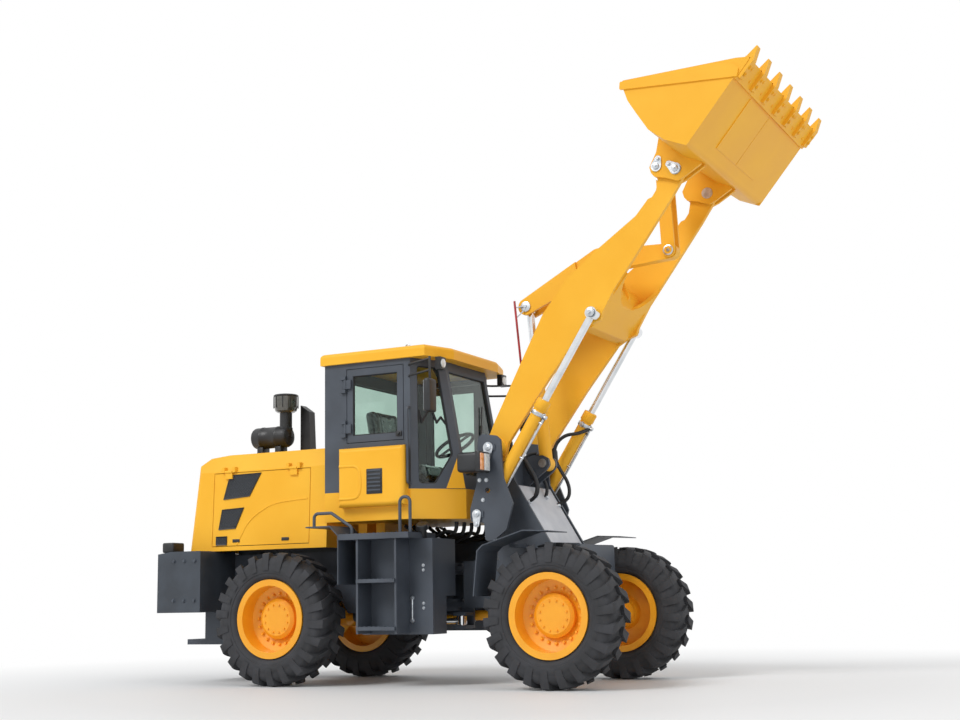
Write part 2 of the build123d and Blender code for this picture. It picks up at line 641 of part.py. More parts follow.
with BuildPart() as hood:
    hood_prism(0, x_rear(HOOD_REAR), x_rear(HOOD_FRONT))
    trim_tail(0)
    tail_corners = hood.edges().filter_by(lambda e: e.center().X < x_rear(-1080) and abs(e.center().Y) > 550)
    fillet(tail_corners.filter_by(lambda e: e.length > 600), radius=70)
    add(hood_cavity.part, mode=Mode.SUBTRACT)
    block(x_rear(HOOD_REAR + 110), x_rear(HOOD_FRONT - SKIN), -HOOD_HALF + 60, HOOD_HALF - 60,
          HOOD_LOW - 20, HOOD_LOW + 20, Mode.SUBTRACT)
    block(x_rear(HOOD_REAR - 20), x_rear(HOOD_REAR + 160), -430, 430, 1320, 1940, Mode.SUBTRACT)
    for side in (-1, 1):
        block(x_rear(DOOR_REAR), x_rear(DOOR_FRONT), side * 480, side * 700, DOOR_LOW, DOOR_TOP, Mode.SUBTRACT)
        for x in HOOD_HINGE_X:
            pin_x(side * HOOD_HINGE[0], HOOD_HINGE[1], HINGE_R, x - 75, x + 75)
            for end in (x - 75, x + 45):
                block(end, end + 30, side * 570, side * (HOOD_HINGE[0] + 10),
                      HOOD_HINGE[1] - 6, HOOD_HINGE[1] + 45)
hood.part.label = "hood"
export_step(hood.part, "parts/hood.step")

for label, side in (("right", -1), ("left", 1)):
    with BuildPart() as hood_door:
        hood_prism(0, x_rear(DOOR_REAR + 6), x_rear(DOOR_FRONT - 6))
        hood_prism(SKIN, x_rear(DOOR_REAR), x_rear(DOOR_FRONT), Mode.SUBTRACT)
        block(x_rear(-1200), x_rear(600), -side * 800, side * 490, 1000, 2300, Mode.SUBTRACT)
        block(x_rear(-1200), x_rear(600), -800, 800, 1000, DOOR_LOW + 6, Mode.SUBTRACT)
        block(x_rear(-1200), x_rear(600), -800, 800, DOOR_TOP - 6, 2300, Mode.SUBTRACT)
        for x in HOOD_HINGE_X:
            pin_x(side * HOOD_HINGE[0], HOOD_HINGE[1], 14, x - 40, x + 40)
            block(x - 40, x + 40, side * 595, side * (HOOD_HINGE[0] + 4), DOOR_TOP - 60, DOOR_TOP - 5)
            pin_x(side * HOOD_HINGE[0], HOOD_HINGE[1], HINGE_R + FIT, x - 60, x + 60, Mode.SUBTRACT)
    hood_door.part.label = f"hood_door_{label}"
    export_step(hood_door.part, f"parts/hood_door_{label}.step")

with BuildPart() as rear_grille:
    low, high = 1320 + SEAT, 1940 - SEAT
    slab(
        [(x_rear(tail_x(low) + 4), low), (x_rear(tail_x(high) + 4), high),
         (x_rear(tail_x(high) + 34), high), (x_rear(tail_x(low) + 34), low)],
        -430 + SEAT, 430 - SEAT,
    )
rear_grille.part.label = "rear_grille"
export_step(rear_grille.part, "parts/rear_grille.step")

# Air filter lying on the hood with its dust cup, and the exhaust
with BuildPart() as air_filter:
    pin_x(0, HOOD_TOP + 205, 108, x_rear(-850), x_rear(-440))
    pin_z(x_rear(-490), 0, 62, HOOD_TOP + 205, HOOD_TOP + 450)
    pin_z(x_rear(-490), 0, 122, HOOD_TOP + 440, HOOD_TOP + 620)
    block(x_rear(-800), x_rear(-500), -60, 60, HOOD_TOP, HOOD_TOP + 130)
air_filter.part.label = "air_filter"
export_step(air_filter.part, "parts/air_filter.step")

with BuildPart() as exhaust:
    slab([(x_rear(-400), HOOD_TOP), (x_rear(-400), HOOD_TOP + 520), (x_rear(-300), HOOD_TOP + 450),
          (x_rear(-280), HOOD_TOP)], 120, 220)
exhaust.part.label = "exhaust"
export_step(exhaust.part, "parts/exhaust.step")


# Cab: hexagonal in plan, with the front leaning back
def cab_plan(inset, front):
    """Cab plan outline, pulled in by inset, with its front at the given place."""
    return [
        (x_front(CAB_REAR + inset), -CAB_HALF + inset), (x_front(CAB_B - inset * 0.41), -CAB_HALF + inset),
        (x_front(front - inset), -CAB_FRONT_HALF + inset * 0.41),
        (x_front(front - inset), CAB_FRONT_HALF - inset * 0.41),
        (x_front(CAB_B - inset * 0.41), CAB_HALF - inset), (x_front(CAB_REAR + inset), CAB_HALF - inset),
    ]


def cab_prism(inset, z0, z1, mode=Mode.ADD):
    """Cab volume pulled in by inset, between two levels, leaning with the front."""
    levels = []
    for z in (z0, z1):
        lean = (z - CAB_SILL) / (CAB_TOP - CAB_SILL)
        front = CAB_FRONT_LOW + (CAB_FRONT_TOP - CAB_FRONT_LOW) * max(0.0, lean)
        with BuildSketch(Plane.XY.offset(z)) as level:
            with BuildLine():
                Polyline(*cab_plan(inset, front), close=True)
            make_face()
        levels.append(level.sketch.face())
    loft(levels, ruled=True, mode=mode)


DOOR_X = (-2010.0, -1420.0)
CAB_HINGE = (x_front(DOOR_X[0] - 4), CAB_HALF + HINGE_OUT)
CAB_HINGE_Z = {"right": (2240.0, 2640.0), "left": (1640.0, 2640.0)}
CAB_FRONT_MID = (CAB_FRONT_LOW + CAB_FRONT_TOP) / 2
QUARTER_PANE = [(70, 1725), (225, 1725), (395, 1985), (300, 2765), (70, 2765)]


def cab_windows(which, shrink, mode):
    """Cuts, or keeps, the window shapes of one wall."""
    if which == "front":
        block(x_front(-1400), x_front(-800), -CAB_FRONT_HALF + 50 + shrink, CAB_FRONT_HALF - 50 - shrink,
              1800 + shrink, 2740 - shrink, mode)
    if which == "rear":
        block(x_front(CAB_REAR - 100), x_front(CAB_REAR + 100), -560 + shrink, 560 - shrink,
              2200 + shrink, 2720 - shrink, mode)
    if which == "sides":
        for side in (-1, 1):
            along = (CAB_FRONT_MID - CAB_B, side * (CAB_FRONT_HALF - CAB_HALF), 0)
            out = (along[1], -along[0], 0)
            face = Plane((x_front(CAB_B), side * CAB_HALF, 0), x_dir=along, z_dir=out)
            with BuildSketch(face) as pane:
                with BuildLine():
                    FilletPolyline(*QUARTER_PANE, radius=35, close=True)
                make_face()
                offset(amount=-shrink, mode=Mode.REPLACE)
            extrude(pane.sketch, amount=105, both=True, mode=mode)


with BuildPart() as cab_frame:
    cab_prism(0, CAB_SILL, CAB_TOP)
    cab_prism(WALL, CAB_SILL, CAB_TOP, Mode.SUBTRACT)
    for wall in ("front", "rear", "sides"):
        cab_windows(wall, 0, Mode.SUBTRACT)
    doorway = (x_front(DOOR_X[0]), x_front(DOOR_X[1]))
    block(*doorway, -CAB_HALF - 50, -CAB_HALF + 150, 2110, 2780, Mode.SUBTRACT)
    block(*doorway, CAB_HALF - 150, CAB_HALF + 50, CAB_SILL - 50, 2780, Mode.SUBTRACT)
    for side, label in ((-1, "right"), (1, "left")):
        for z in CAB_HINGE_Z[label]:
            pin_z(CAB_HINGE[0], side * CAB_HINGE[1], HINGE_R, z - 75, z + 75)
            for end in (z - 75, z + 45):
                if end > CAB_SILL:
                    block(CAB_HINGE[0] - 45, CAB_HINGE[0] + 5, side * (CAB_HALF - 10),
                          side * (CAB_HINGE[1] + 10), end, end + 30)
cab_frame.part.label = "cab_frame"
export_step(cab_frame.part, "parts/cab_frame.step")

with BuildPart() as cab_base:
    cab_prism(0, CAB_FLOOR, CAB_SILL)
    cab_prism(WALL, CAB_FLOOR + 40, CAB_SILL, Mode.SUBTRACT)
    block(*doorway, CAB_HALF - 150, CAB_HALF + 50, CAB_FLOOR + 60, CAB_SILL + 50, Mode.SUBTRACT)
    for x in (-2150, -1960):
        block(x_front(x), x_front(x + 90), -330, 330, 1180, CAB_FLOOR + 5)
cab_base.part.label = "cab_base"
export_step(cab_base.part, "parts/cab_base.step")

with BuildPart() as cab_roof:
    plan(
        [(x_front(-2270), -780), (x_front(-1190), -780), (x_front(-1080), -440), (x_front(-1080), 440),
         (x_front(-1190), 780), (x_front(-2270), 780)],
        CAB_TOP, ROOF_TOP,
    )
    fillet(cab_roof.faces().sort_by(Axis.Z)[-1].edges(), radius=40)
cab_roof.part.label = "cab_roof"
export_step(cab_roof.part, "parts/cab_roof.step")

with BuildPart() as cab_glass:
    cab_prism(20, CAB_SILL, CAB_TOP)
    cab_prism(28, CAB_SILL, CAB_TOP, Mode.SUBTRACT)
    with BuildPart(mode=Mode.INTERSECT) as panes:
        for wall in ("front", "rear", "sides"):
            cab_windows(wall, SEAT, Mode.ADD)
cab_glass.part.label = "cab_glass"
export_step(cab_glass.part, "parts/cab_glass.step")

# Doors: a half door on the right, a full door on the left, each with its glass
for label, side, low in (("right", -1, 2110.0), ("left", 1, CAB_FLOOR + 60.0)):
    x0, x1 = x_front(DOOR_X[0] + 6), x_front(DOOR_X[1] - 6)
    y_out, y_in = side * CAB_HALF, side * (CAB_HALF - 40)
    with BuildPart() as door:
        block(x0, x1, y_out, y_in, low + 6, 2774)
        block(x0 + 60, x1 - 60, y_out + side * 50, y_in - side * 50, max(low + 66, 1800), 2714, Mode.SUBTRACT)
        for z in CAB_HINGE_Z[label]:
            pin_z(CAB_HINGE[0], side * CAB_HINGE[1], 14, z - 40, z + 40)
            block(x0 - 3, x0 + 50, y_out - side * 5, side * (CAB_HINGE[1] + 4), z - 40, z + 40)
            pin_z(CAB_HINGE[0], side * CAB_HINGE[1], HINGE_R + FIT, z - 60, z + 60, Mode.SUBTRACT)
    door.part.label = f"{label}_door"
    export_step(door.part, f"parts/{label}_door.step")
    with BuildPart() as door_glass:
        pane = (max(low + 66, 1800) + SEAT, 2714 - SEAT)
        block(x0 + 60 + SEAT, x1 - 60 - SEAT, y_out - side * 16, y_out - side * 24, *pane)
    door_glass.part.label = f"{label}_door_glass"
    export_step(door_glass.part, f"parts/{label}_door_glass.step")

# Bulged cover below the half door
with BuildPart() as side_cover:
    block(x_front(-2050), x_front(-1380), -CAB_HALF - 90, -CAB_HALF, 1540, 2060)
    fillet(side_cover.faces().sort_by(Axis.Y)[0].edges(), radius=40)
side_cover.part.label = "side_cover"
export_step(side_cover.part, "parts/side_cover.step")

# Inside the cab: seat and steering column
with BuildPart() as seat:
    block(x_front(-1980), x_front(-1560), -200, 200, CAB_FLOOR + 40, 1800)
    block(x_front(-2010), x_front(-1500), -250, 250, 1800, 1930)
    block(x_front(-2090), x_front(-1960), -250, 250, 1880, 2520)
seat.part.label = "seat"
export_step(seat.part, "parts/seat.step")

with BuildPart() as steering_column:
    block(x_front(-1250), x_front(-1150), -110, 110, CAB_FLOOR + 40, 1960)
    with Locations(Location((x_front(-1270), 0, 2030), (0, -30, 0))):
        Cylinder(30, 240)
    with Locations(Location((x_front(-1320), 0, 2115), (0, -30, 0))):
        Torus(185, 16)
        Box(370, 30, 14)
steering_column.part.label = "steering_column"
export_step(steering_column.part, "parts/steering_column.step")

# Tanks, steps and decks beside the pivot
with BuildPart() as tanks:
    for side in (-1, 1):
        block(PIVOT_X - 510, PIVOT_X + 190, side * (330 + SEAT), side * 740, 760, 1250)
        block(PIVOT_X - 510, PIVOT_X + 190, side * 500, side * 740, 440, 770)
tanks.part.label = "tanks"
export_step(tanks.part, "parts/tanks.step")

with BuildPart() as steps:
    for side in (-1, 1):
        block(x_rear(738) + SEAT, PIVOT_X + 90, side * 500, side * 980, 1250, 1300)
        for x in (PIVOT_X - 440, PIVOT_X - 60):
            block(x, x + 20, side * 740, side * 960, 450, 1260)
        for z in (480, 880):
            block(PIVOT_X - 430, PIVOT_X - 50, side * 760, side * 980, z, z + 30)
steps.part.label = "steps"
export_step(steps.part, "parts/steps.step")

with BuildPart() as rear_fenders:
    guard = [
        (400, 1378), (650, 1378), (738, 1290), (738, 870),
        (728, 870), (728, 1286), (645, 1366), (400, 1366),
    ]
    for side in (-1, 1):
        slab([(x_rear(x), z) for x, z in guard], side * 590, side * 975)
rear_fenders.part.label = "rear_fenders"
export_step(rear_fenders.part, "parts/rear_fenders.step")

# Grab rails: bent tubes on the mudguards, the decks and the cab
def rail(points, bend=60, radius=14):
    """Tube swept along a bent line."""
    with BuildLine() as route:
        FilletPolyline(*points, radius=bend)
    with BuildSketch(Plane(route.line @ 0, z_dir=route.line % 0)) as bore:
        Circle(radius)
    sweep(bore.sketch, path=route.line)


with BuildPart() as grab_rails:
    guard_top, deck_top = 1378.0 + SEAT, 1300.0 + SEAT
    for side in (-1, 1):
        y = side * 900
        rail([(x_rear(440), y, guard_top), (x_rear(440), y, 1492), (x_rear(620), y, 1492),
              (x_rear(830), y, 1360), (x_rear(830), y, deck_top)], bend=40)
        rail([(PIVOT_X + 66, y, deck_top), (PIVOT_X + 66, y, 1600), (PIVOT_X - 34, y, 1600),
              (PIVOT_X - 34, y, deck_top)], bend=45)
        pillar = side * (CAB_HALF + SEAT)
        rail([(x_front(-1362), pillar, 1725), (x_front(-1362), side * (CAB_HALF + 45), 1725),
              (x_front(-1362), side * (CAB_HALF + 45), 2390), (x_front(-1362), pillar, 2390)], bend=30, radius=12)
grab_rails.part.label = "grab_rails"
export_step(grab_rails.part, "parts/grab_rails.step")

# Mirrors on two-bar arms, roof lamps
with BuildPart() as mirrors:
    for side in (-1, 1):
        block(x_front(-1060), x_front(-1030), side * 880, side * 1020, 2300, 2590)
        block(x_front(-1360), x_front(-1030), side * (CAB_HALF + SEAT), side * (CAB_HALF + 20), 2650, 2670)
        block(x_front(-1060), x_front(-1030), side * (CAB_HALF + SEAT), side * 960, 2650, 2670)
        block(x_front(-1055), x_front(-1035), side * 935, side * 955, 2580, 2660)
mirrors.part.label = "mirrors"
export_step(mirrors.part, "parts/mirrors.step")

with BuildPart() as roof_lamps:
    for side in (-1, 1):
        block(x_front(-1150), x_front(-1100), side * 560, side * 660, 2720, CAB_TOP)
        block(x_front(-2270), x_front(-2241), side * 560, side * 660, 2740, CAB_TOP)
roof_lamps.part.label = "roof_lamps"
export_step(roof_lamps.part, "parts/roof_lamps.step")
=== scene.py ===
"""Studio picture of an articulated wheel loader with its boom raised."""

import json
from math import cos, pi, radians, sin

import bmesh
import bpy
from mathutils import Matrix, Vector


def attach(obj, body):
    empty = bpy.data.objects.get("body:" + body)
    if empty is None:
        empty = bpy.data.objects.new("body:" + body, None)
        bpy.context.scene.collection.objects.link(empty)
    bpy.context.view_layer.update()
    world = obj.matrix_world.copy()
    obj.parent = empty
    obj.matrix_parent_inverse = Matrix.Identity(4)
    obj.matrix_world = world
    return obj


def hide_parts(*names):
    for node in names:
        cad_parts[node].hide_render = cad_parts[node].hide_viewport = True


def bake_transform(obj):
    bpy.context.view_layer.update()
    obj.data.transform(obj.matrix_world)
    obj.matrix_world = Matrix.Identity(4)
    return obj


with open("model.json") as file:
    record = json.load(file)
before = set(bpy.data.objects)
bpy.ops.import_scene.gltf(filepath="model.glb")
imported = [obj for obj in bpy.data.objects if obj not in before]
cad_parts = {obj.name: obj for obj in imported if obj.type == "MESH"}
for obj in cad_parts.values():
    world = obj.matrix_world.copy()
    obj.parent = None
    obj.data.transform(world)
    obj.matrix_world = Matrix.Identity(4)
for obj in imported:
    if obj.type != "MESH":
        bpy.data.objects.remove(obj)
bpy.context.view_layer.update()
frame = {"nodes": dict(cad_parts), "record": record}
nodes = frame["nodes"]

# Places shared with the CAD model, in metres in the row frame
FRONT_X = 1.087
REAR_X = FRONT_X - 2.694
PIVOT_X = FRONT_X - 1.347
AXLE_Z = 0.585
TRACK_HALF = 0.780
WHEELS = {
    "front_right": (FRONT_X, -1), "front_left": (FRONT_X, 1),
    "rear_right": (REAR_X, -1), "rear_left": (REAR_X, 1),
}
BOOM_PIVOT = Vector((FRONT_X - 0.670, 0, 2.005))
BUCKET_PIN = Vector((FRONT_X + 1.062, 0, 4.245))
ROCKER_TOP = Vector((FRONT_X - 0.528, 0, 3.310))
ROCKER_LOW = Vector((FRONT_X + 0.830, 0, 3.662))
TILT_BASE = Vector((FRONT_X - 0.402, 0, 1.894))
LIFT_BASE = Vector((FRONT_X - 0.790, 0, 1.440))
LIFT_EYE = Vector((FRONT_X + 0.285, 0, 3.090))
LIP = Vector((FRONT_X + 1.880, 0, 4.880))
HEEL = Vector((FRONT_X + 1.345, 0, 4.245))

# Camera at the photograph's place
PAN, PITCH, ROLL = radians(-26.895), radians(9.523), radians(-1.037)
ahead = Vector((sin(PAN) * cos(PITCH), cos(PAN) * cos(PITCH), sin(PITCH)))
right = ahead.cross(Vector((0, 0, 1))).normalized()
upward = right.cross(ahead)
right, upward = cos(ROLL) * right + sin(ROLL) * upward, -sin(ROLL) * right + cos(ROLL) * upward
lens = bpy.data.cameras.new("camera")
lens.sensor_width = 36.0
lens.sensor_fit = "HORIZONTAL"
lens.lens = 53.21
camera = bpy.data.objects.new("camera", lens)
turned = Matrix((right, upward, -ahead)).transposed()
camera.matrix_world = Matrix.Translation((FRONT_X + 4.752, -11.427, 0.735)) @ turned.to_4x4()
bpy.context.scene.collection.objects.link(camera)
bpy.context.scene.camera = camera
bpy.context.scene.view_settings.view_transform = "Standard"


# Finishes
def srgb(code):
    """Linear colour of an sRGB hex value."""
    parts = [int(code[i:i + 2], 16) / 255 for i in (1, 3, 5)]
    return (*[p / 12.92 if p <= 0.04045 else ((p + 0.055) / 1.055) ** 2.4 for p in parts], 1.0)


def add_node(tree, kind, inputs=None, **settings):
    """Adds one shader node with its settings, and sets or links its inputs."""
    made = tree.nodes.new(kind)
    for key, value in settings.items():
        setattr(made, key, value)
    for key, value in (inputs or {}).items():
        if isinstance(value, bpy.types.NodeSocket):
            tree.links.new(value, made.inputs[key])
        else:
            made.inputs[key].default_value = value
    return made


def new_finish(name):
    """An empty node material: its tree, its Object coordinates and its shader."""
    finish = bpy.data.materials.new(name)
    finish.use_nodes = True
    tree = finish.node_tree
    tree.nodes.clear()
    shader = add_node(tree, "ShaderNodeBsdfPrincipled")
    add_node(tree, "ShaderNodeOutputMaterial", {"Surface": shader.outputs[0]})
    where = add_node(tree, "ShaderNodeTexCoord").outputs["Object"]
    return finish, tree, where, shader


def mottled(name, pale, deep, patch_mm, rough, grain_mm, relief_mm, **sockets):
    """A finish whose colour and gloss wander in patches, with a fine grain standing up from it."""
    finish, tree, where, shader = new_finish(name)
    patch = add_node(tree, "ShaderNodeTexNoise", {"Vector": where, "Scale": 1000 / patch_mm, "Detail": 5.0})
    spread = add_node(tree, "ShaderNodeMapRange",
                      {"Value": patch.outputs["Fac"], "From Min": 0.35, "From Max": 0.65})
    tint = add_node(tree, "ShaderNodeMix",
                    {0: spread.outputs[0], 6: srgb(deep), 7: srgb(pale)}, data_type="RGBA")
    gloss = add_node(tree, "ShaderNodeMapRange", {
        "Value": patch.outputs["Fac"], "From Min": 0.3, "From Max": 0.7,
        "To Min": rough[0], "To Max": rough[1],
    })
    grain = add_node(tree, "ShaderNodeTexNoise", {"Vector": where, "Scale": 1000 / grain_mm, "Detail": 3.0})
    bump = add_node(tree, "ShaderNodeBump", {
        "Height": grain.outputs["Fac"], "Strength": 0.6, "Distance": relief_mm / 1000,
    })
    for key, value in (("Base Color", tint.outputs[2]), ("Roughness", gloss.outputs[0]),
                       ("Normal", bump.outputs[0])):
        tree.links.new(value, shader.inputs[key])
    for key, value in sockets.items():
        shader.inputs[key.replace("_", " ")].default_value = value
    return finish


# Two-pack enamel sprayed on plate: even warm yellow, orange peel drawn at 9 mm so that it shows
yellow_enamel = mottled("yellow_enamel_on_plate", "#FCBE38", "#F6B42D", 700, (0.40, 0.52), 9, 0.10,
                        Specular_IOR_Level=0.22, Coat_Weight=0.06, Coat_Roughness=0.15)
# The same enamel, deeper, baked on pressed wheel steel
rim_enamel = mottled("orange_yellow_rim_enamel", "#F8AE24", "#F2A41C", 220, (0.34, 0.48), 8, 0.10,
                     Coat_Weight=0.15, Coat_Roughness=0.2)
# Slate enamel on frames and cab pillars: dull satin with a cloudy film of dust
slate_enamel = mottled("slate_grey_enamel", "#4A515B", "#3C424B", 420, (0.42, 0.58), 7, 0.12)
# Painted highlight on the slanted deck plate: a chalky, light pale grey that stands for the light the slate
# plate reflects
deck_painted_highlight = mottled("pale_grey_painted_highlight", "#D3D6DC", "#BFC3CB", 240, (0.45, 0.6), 6, 0.10)
# Iron cast in sand, painted slate: coarse skin
cast_iron = mottled("painted_sand_cast_iron", "#3F464F", "#31373F", 260, (0.5, 0.66), 14, 0.8)
# Tyre rubber with carbon black: matt, greyer where it has been handled
tyre_rubber = mottled("carbon_black_tyre_rubber", "#3A3B3F", "#28292C", 150, (0.72, 0.88), 5, 0.35)
# Hard chrome on a ground rod: mirror with a faint draw
hard_chrome = mottled("hard_chrome_plate", "#E8EAEC", "#D6DADD", 90, (0.10, 0.18), 3, 0.02, Metallic=1.0)
# Zinc plate on keepers and bolts: pale grey, dull spangle
zinc_plate = mottled("bright_zinc_plate", "#D5D9DD", "#B4BAC0", 40, (0.28, 0.42), 4, 0.05, Metallic=1.0)
# Moulded ABS of lamps, mirrors and the air cleaner: fine spark texture
black_abs = mottled("black_moulded_abs", "#25272A", "#1A1B1D", 120, (0.38, 0.52), 2.5, 0.06)
# Braided hydraulic hose under black rubber
hose_rubber = mottled("hydraulic_hose_rubber", "#232427", "#17181A", 60, (0.5, 0.65), 3, 0.15)
# Extruded sealing rubber round the panes
seal_rubber = mottled("window_seal_rubber", "#1D1E20", "#151617", 80, (0.6, 0.75), 3, 0.05)
# Seat vinyl still under its clear delivery film: grey cloth, with the film's sheen painted into the colour as
# bright streaks
vinyl_with_painted_sheen = mottled("seat_vinyl_film_painted_sheen", "#6E7377", "#3C4044", 55, (0.18, 0.5), 22, 2.2,
                       Coat_Weight=1.0, Coat_Roughness=0.06)
# Engine grey under the hood, a little oily
engine_grey = mottled("engine_enamel", "#4A4F55", "#33373C", 180, (0.4, 0.6), 10, 0.3)
# Red enamel of level rods and safety pins
red_enamel = mottled("red_enamel", "#B3262B", "#96191F", 60, (0.35, 0.5), 4, 0.05)
# Mirror glass: silvered, almost without texture
silvered_glass = mottled("silvered_mirror_glass", "#DDE3E6", "#CCD4D8", 120, (0.02, 0.05), 30, 0.01,
                         Metallic=1.0)
# Moulded lamp lenses: polycarbonate over a pale reflector
clear_lens = mottled("clear_lamp_lens", "#E6EAEB", "#C9D0D3", 25, (0.05, 0.15), 12, 0.6, Coat_Weight=1.0)
amber_lens = mottled("amber_lamp_lens", "#F2B183", "#E08C4B", 25, (0.08, 0.2), 12, 0.6, Coat_Weight=1.0)
red_lens = mottled("red_lamp_lens", "#A8181A", "#7C0E12", 25, (0.08, 0.2), 10, 0.6, Coat_Weight=1.0)
# Smoked polycarbonate of the dust bowl: dark, glossy
smoked_bowl = mottled("smoked_dust_bowl", "#55544D", "#34342F", 60, (0.08, 0.2), 12, 0.3, Coat_Weight=1.0)
# Green-tinted laminated cab glass
cab_glass = mottled("green_tinted_cab_glass", "#D2E2DB", "#C9DBD3", 400, (0.0, 0.015), 60, 0.01,
                    Transmission_Weight=1.0, IOR=1.3)

FINISH_OF_SLOT = {
    "tyre_rubber": tyre_rubber, "rim_paint": rim_enamel, "tinted_glass": cab_glass,
    "yellow_paint": yellow_enamel, "grey_paint": slate_enamel, "rod_chrome": hard_chrome,
    "pin_steel": zinc_plate, "tooth_steel": yellow_enamel, "grey_casting": cast_iron,
    "black_plastic": black_abs, "seat_vinyl": vinyl_with_painted_sheen,
}
FINISH_OF_NODE = {
    "engine_block": engine_grey, "transmission": engine_grey,
    "front_axle": rim_enamel, "rear_axle": rim_enamel,
}
for part in frame["record"]["subparts"]:
    finish = FINISH_OF_NODE.get(part["node"], FINISH_OF_SLOT[part["material_slot"]])
    shape = nodes[part["node"]]
    shape.data.materials.clear()
    shape.data.materials.append(finish)


# Making pieces
def from_axle(x, y, z):
    """Row place of a point measured from the front axle."""
    return Vector((FRONT_X + x, y, z))


def finish_piece(bm, name, body, finish, smooth=40, span=None):
    """Turns a bmesh into a piece that rides on a body, or, when a span is given, stays unparented where it
    was built.
    """
    bmesh.ops.remove_doubles(bm, verts=bm.verts, dist=1e-5)
    bmesh.ops.recalc_face_normals(bm, faces=bm.faces)
    mesh = bpy.data.meshes.new(name)
    bm.to_mesh(mesh)
    bm.free()
    mesh.materials.append(finish)
    piece = bpy.data.objects.new(name, mesh)
    bpy.context.scene.collection.objects.link(piece)
    if smooth:
        mesh.shade_smooth()
        mesh.set_sharp_from_angle(angle=radians(smooth))
    if span:
        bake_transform(piece)
    else:
        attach(piece, body)
    return piece


def soften(bm, width, segments=2, geom=None):
    """Rounds edges, all of them unless some are given."""
    edges = geom if geom is not None else [e for e in bm.edges if len(e.link_faces) == 2]
    bmesh.ops.bevel(bm, geom=edges, offset=width, offset_type="OFFSET", segments=segments,
                    profile=0.5, affect="EDGES", material=-1, clamp_overlap=True)


def rounded_block(bm, low, high, width, segments=2, turn=None, pivot=(0, 0, 0)):
    """Adds a block between two corners with rounded edges."""
    part = bmesh.new()
    low, high = Vector(low), Vector(high)
    bmesh.ops.create_cube(part, size=1.0)
    bmesh.ops.scale(part, verts=part.verts, vec=high - low)
    bmesh.ops.translate(part, verts=part.verts, vec=(low + high) / 2)
    soften(part, width, segments)
    if turn is not None:
        bmesh.ops.rotate(part, verts=part.verts, cent=pivot, matrix=turn)
    merge(bm, part)


def merge(bm, part):
    """Copies one bmesh into another."""
    scrap = bpy.data.meshes.new("scrap")
    part.to_mesh(scrap)
    part.free()
    bm.from_mesh(scrap)
    bpy.data.meshes.remove(scrap)


def along(direction):
    """Turn that carries +Z to a direction."""
    return Vector((0, 0, 1)).rotation_difference(Vector(direction)).to_matrix()


def hex_bolt(bm, place, direction, size, height):
    """Adds a hexagon head on a washer, standing on a face."""
    part = bmesh.new()
    bmesh.ops.create_cone(part, cap_ends=True, segments=6, radius1=size, radius2=size, depth=height)
    bmesh.ops.translate(part, verts=part.verts, vec=(0, 0, height / 2 + size * 0.25))
    soften(part, size * 0.12, 1)
    washer = bmesh.new()
    bmesh.ops.create_cone(washer, cap_ends=True, segments=16, radius1=size * 1.45, radius2=size * 1.35,
                          depth=size * 0.35)
    bmesh.ops.translate(washer, verts=washer.verts, vec=(0, 0, size * 0.16))
    merge(part, washer)
    bmesh.ops.rotate(part, verts=part.verts, cent=(0, 0, 0), matrix=along(direction))
    bmesh.ops.translate(part, verts=part.verts, vec=place)
    merge(bm, part)


def round_bar(bm, a, b, radius, segments=16, edge=0.0):
    """Adds a round bar between two points, its ends rounded if asked."""
    a, b = Vector(a), Vector(b)
    part = bmesh.new()
    bmesh.ops.create_cone(part, cap_ends=True, segments=segments, radius1=radius, radius2=radius,
                          depth=(b - a).length)
    if edge:
        rims = [e for e in part.edges if len({round(v.co.z, 6) for v in e.verts}) == 1]
        soften(part, edge, 2, rims)
    bmesh.ops.rotate(part, verts=part.verts, cent=(0, 0, 0), matrix=along(b - a))
    bmesh.ops.translate(part, verts=part.verts, vec=(a + b) / 2)
    merge(bm, part)


def spun(bm, profile, centre, axis, steps=40):
    """Adds a shape spun about an axis from (radius, height) points; closed at the axis."""
    part = bmesh.new()
    chain = [part.verts.new((r, 0, h)) for r, h in profile]
    edges = [part.edges.new(pair) for pair in zip(chain, chain[1:])]
    bmesh.ops.spin(part, geom=chain + edges, cent=(0, 0, 0), axis=(0, 0, 1), angle=2 * pi, steps=steps,
                   use_merge=True)
    bmesh.ops.remove_doubles(part, verts=part.verts, dist=1e-5)
    bmesh.ops.recalc_face_normals(part, faces=part.faces)
    bmesh.ops.rotate(part, verts=part.verts, cent=(0, 0, 0), matrix=along(axis))
    bmesh.ops.translate(part, verts=part.verts, vec=centre)
    merge(bm, part)


def tube_along(points, radius, name, body, finish, bends=False):
    """A bent tube on a smooth line through its control points, as a mesh piece."""
    line = bpy.data.curves.new(name, "CURVE")
    line.dimensions = "3D"
    line.resolution_u = 10
    line.bevel_depth = radius
    line.bevel_resolution = 4
    line.use_fill_caps = True
    spline = line.splines.new("NURBS")
    spline.points.add(len(points) - 1)
    for point, place in zip(spline.points, points):
        point.co = (*place, 1.0)
    spline.order_u = 3
    spline.use_endpoint_u = True
    carrier = bpy.data.objects.new(name + "_line", line)
    bpy.context.scene.collection.objects.link(carrier)
    mesh = bpy.data.meshes.new_from_object(carrier.evaluated_get(bpy.context.evaluated_depsgraph_get()))
    bpy.data.objects.remove(carrier)
    bm = bmesh.new()
    bm.from_mesh(mesh)
    bpy.data.meshes.remove(mesh)
    return finish_piece(bm, name, body, finish, span=(points[0], points[-1]) if bends else None)


# Tyres: a spun casing with bead rings, and chunky slanted lugs running over both shoulders
TYRE_R, TYRE_HALF = 0.585, 0.205
LUG_DEPTH = 0.032
LUGS = 22


def shoulder_radius(y):
    """Radius of the lug faces at a distance from the middle of the tread."""
    over = max(0.0, abs(y) - 0.128)
    return TYRE_R - 4.2 * over * over - (0.0 if abs(y) < 0.19 else (abs(y) - 0.19) * 5.2)


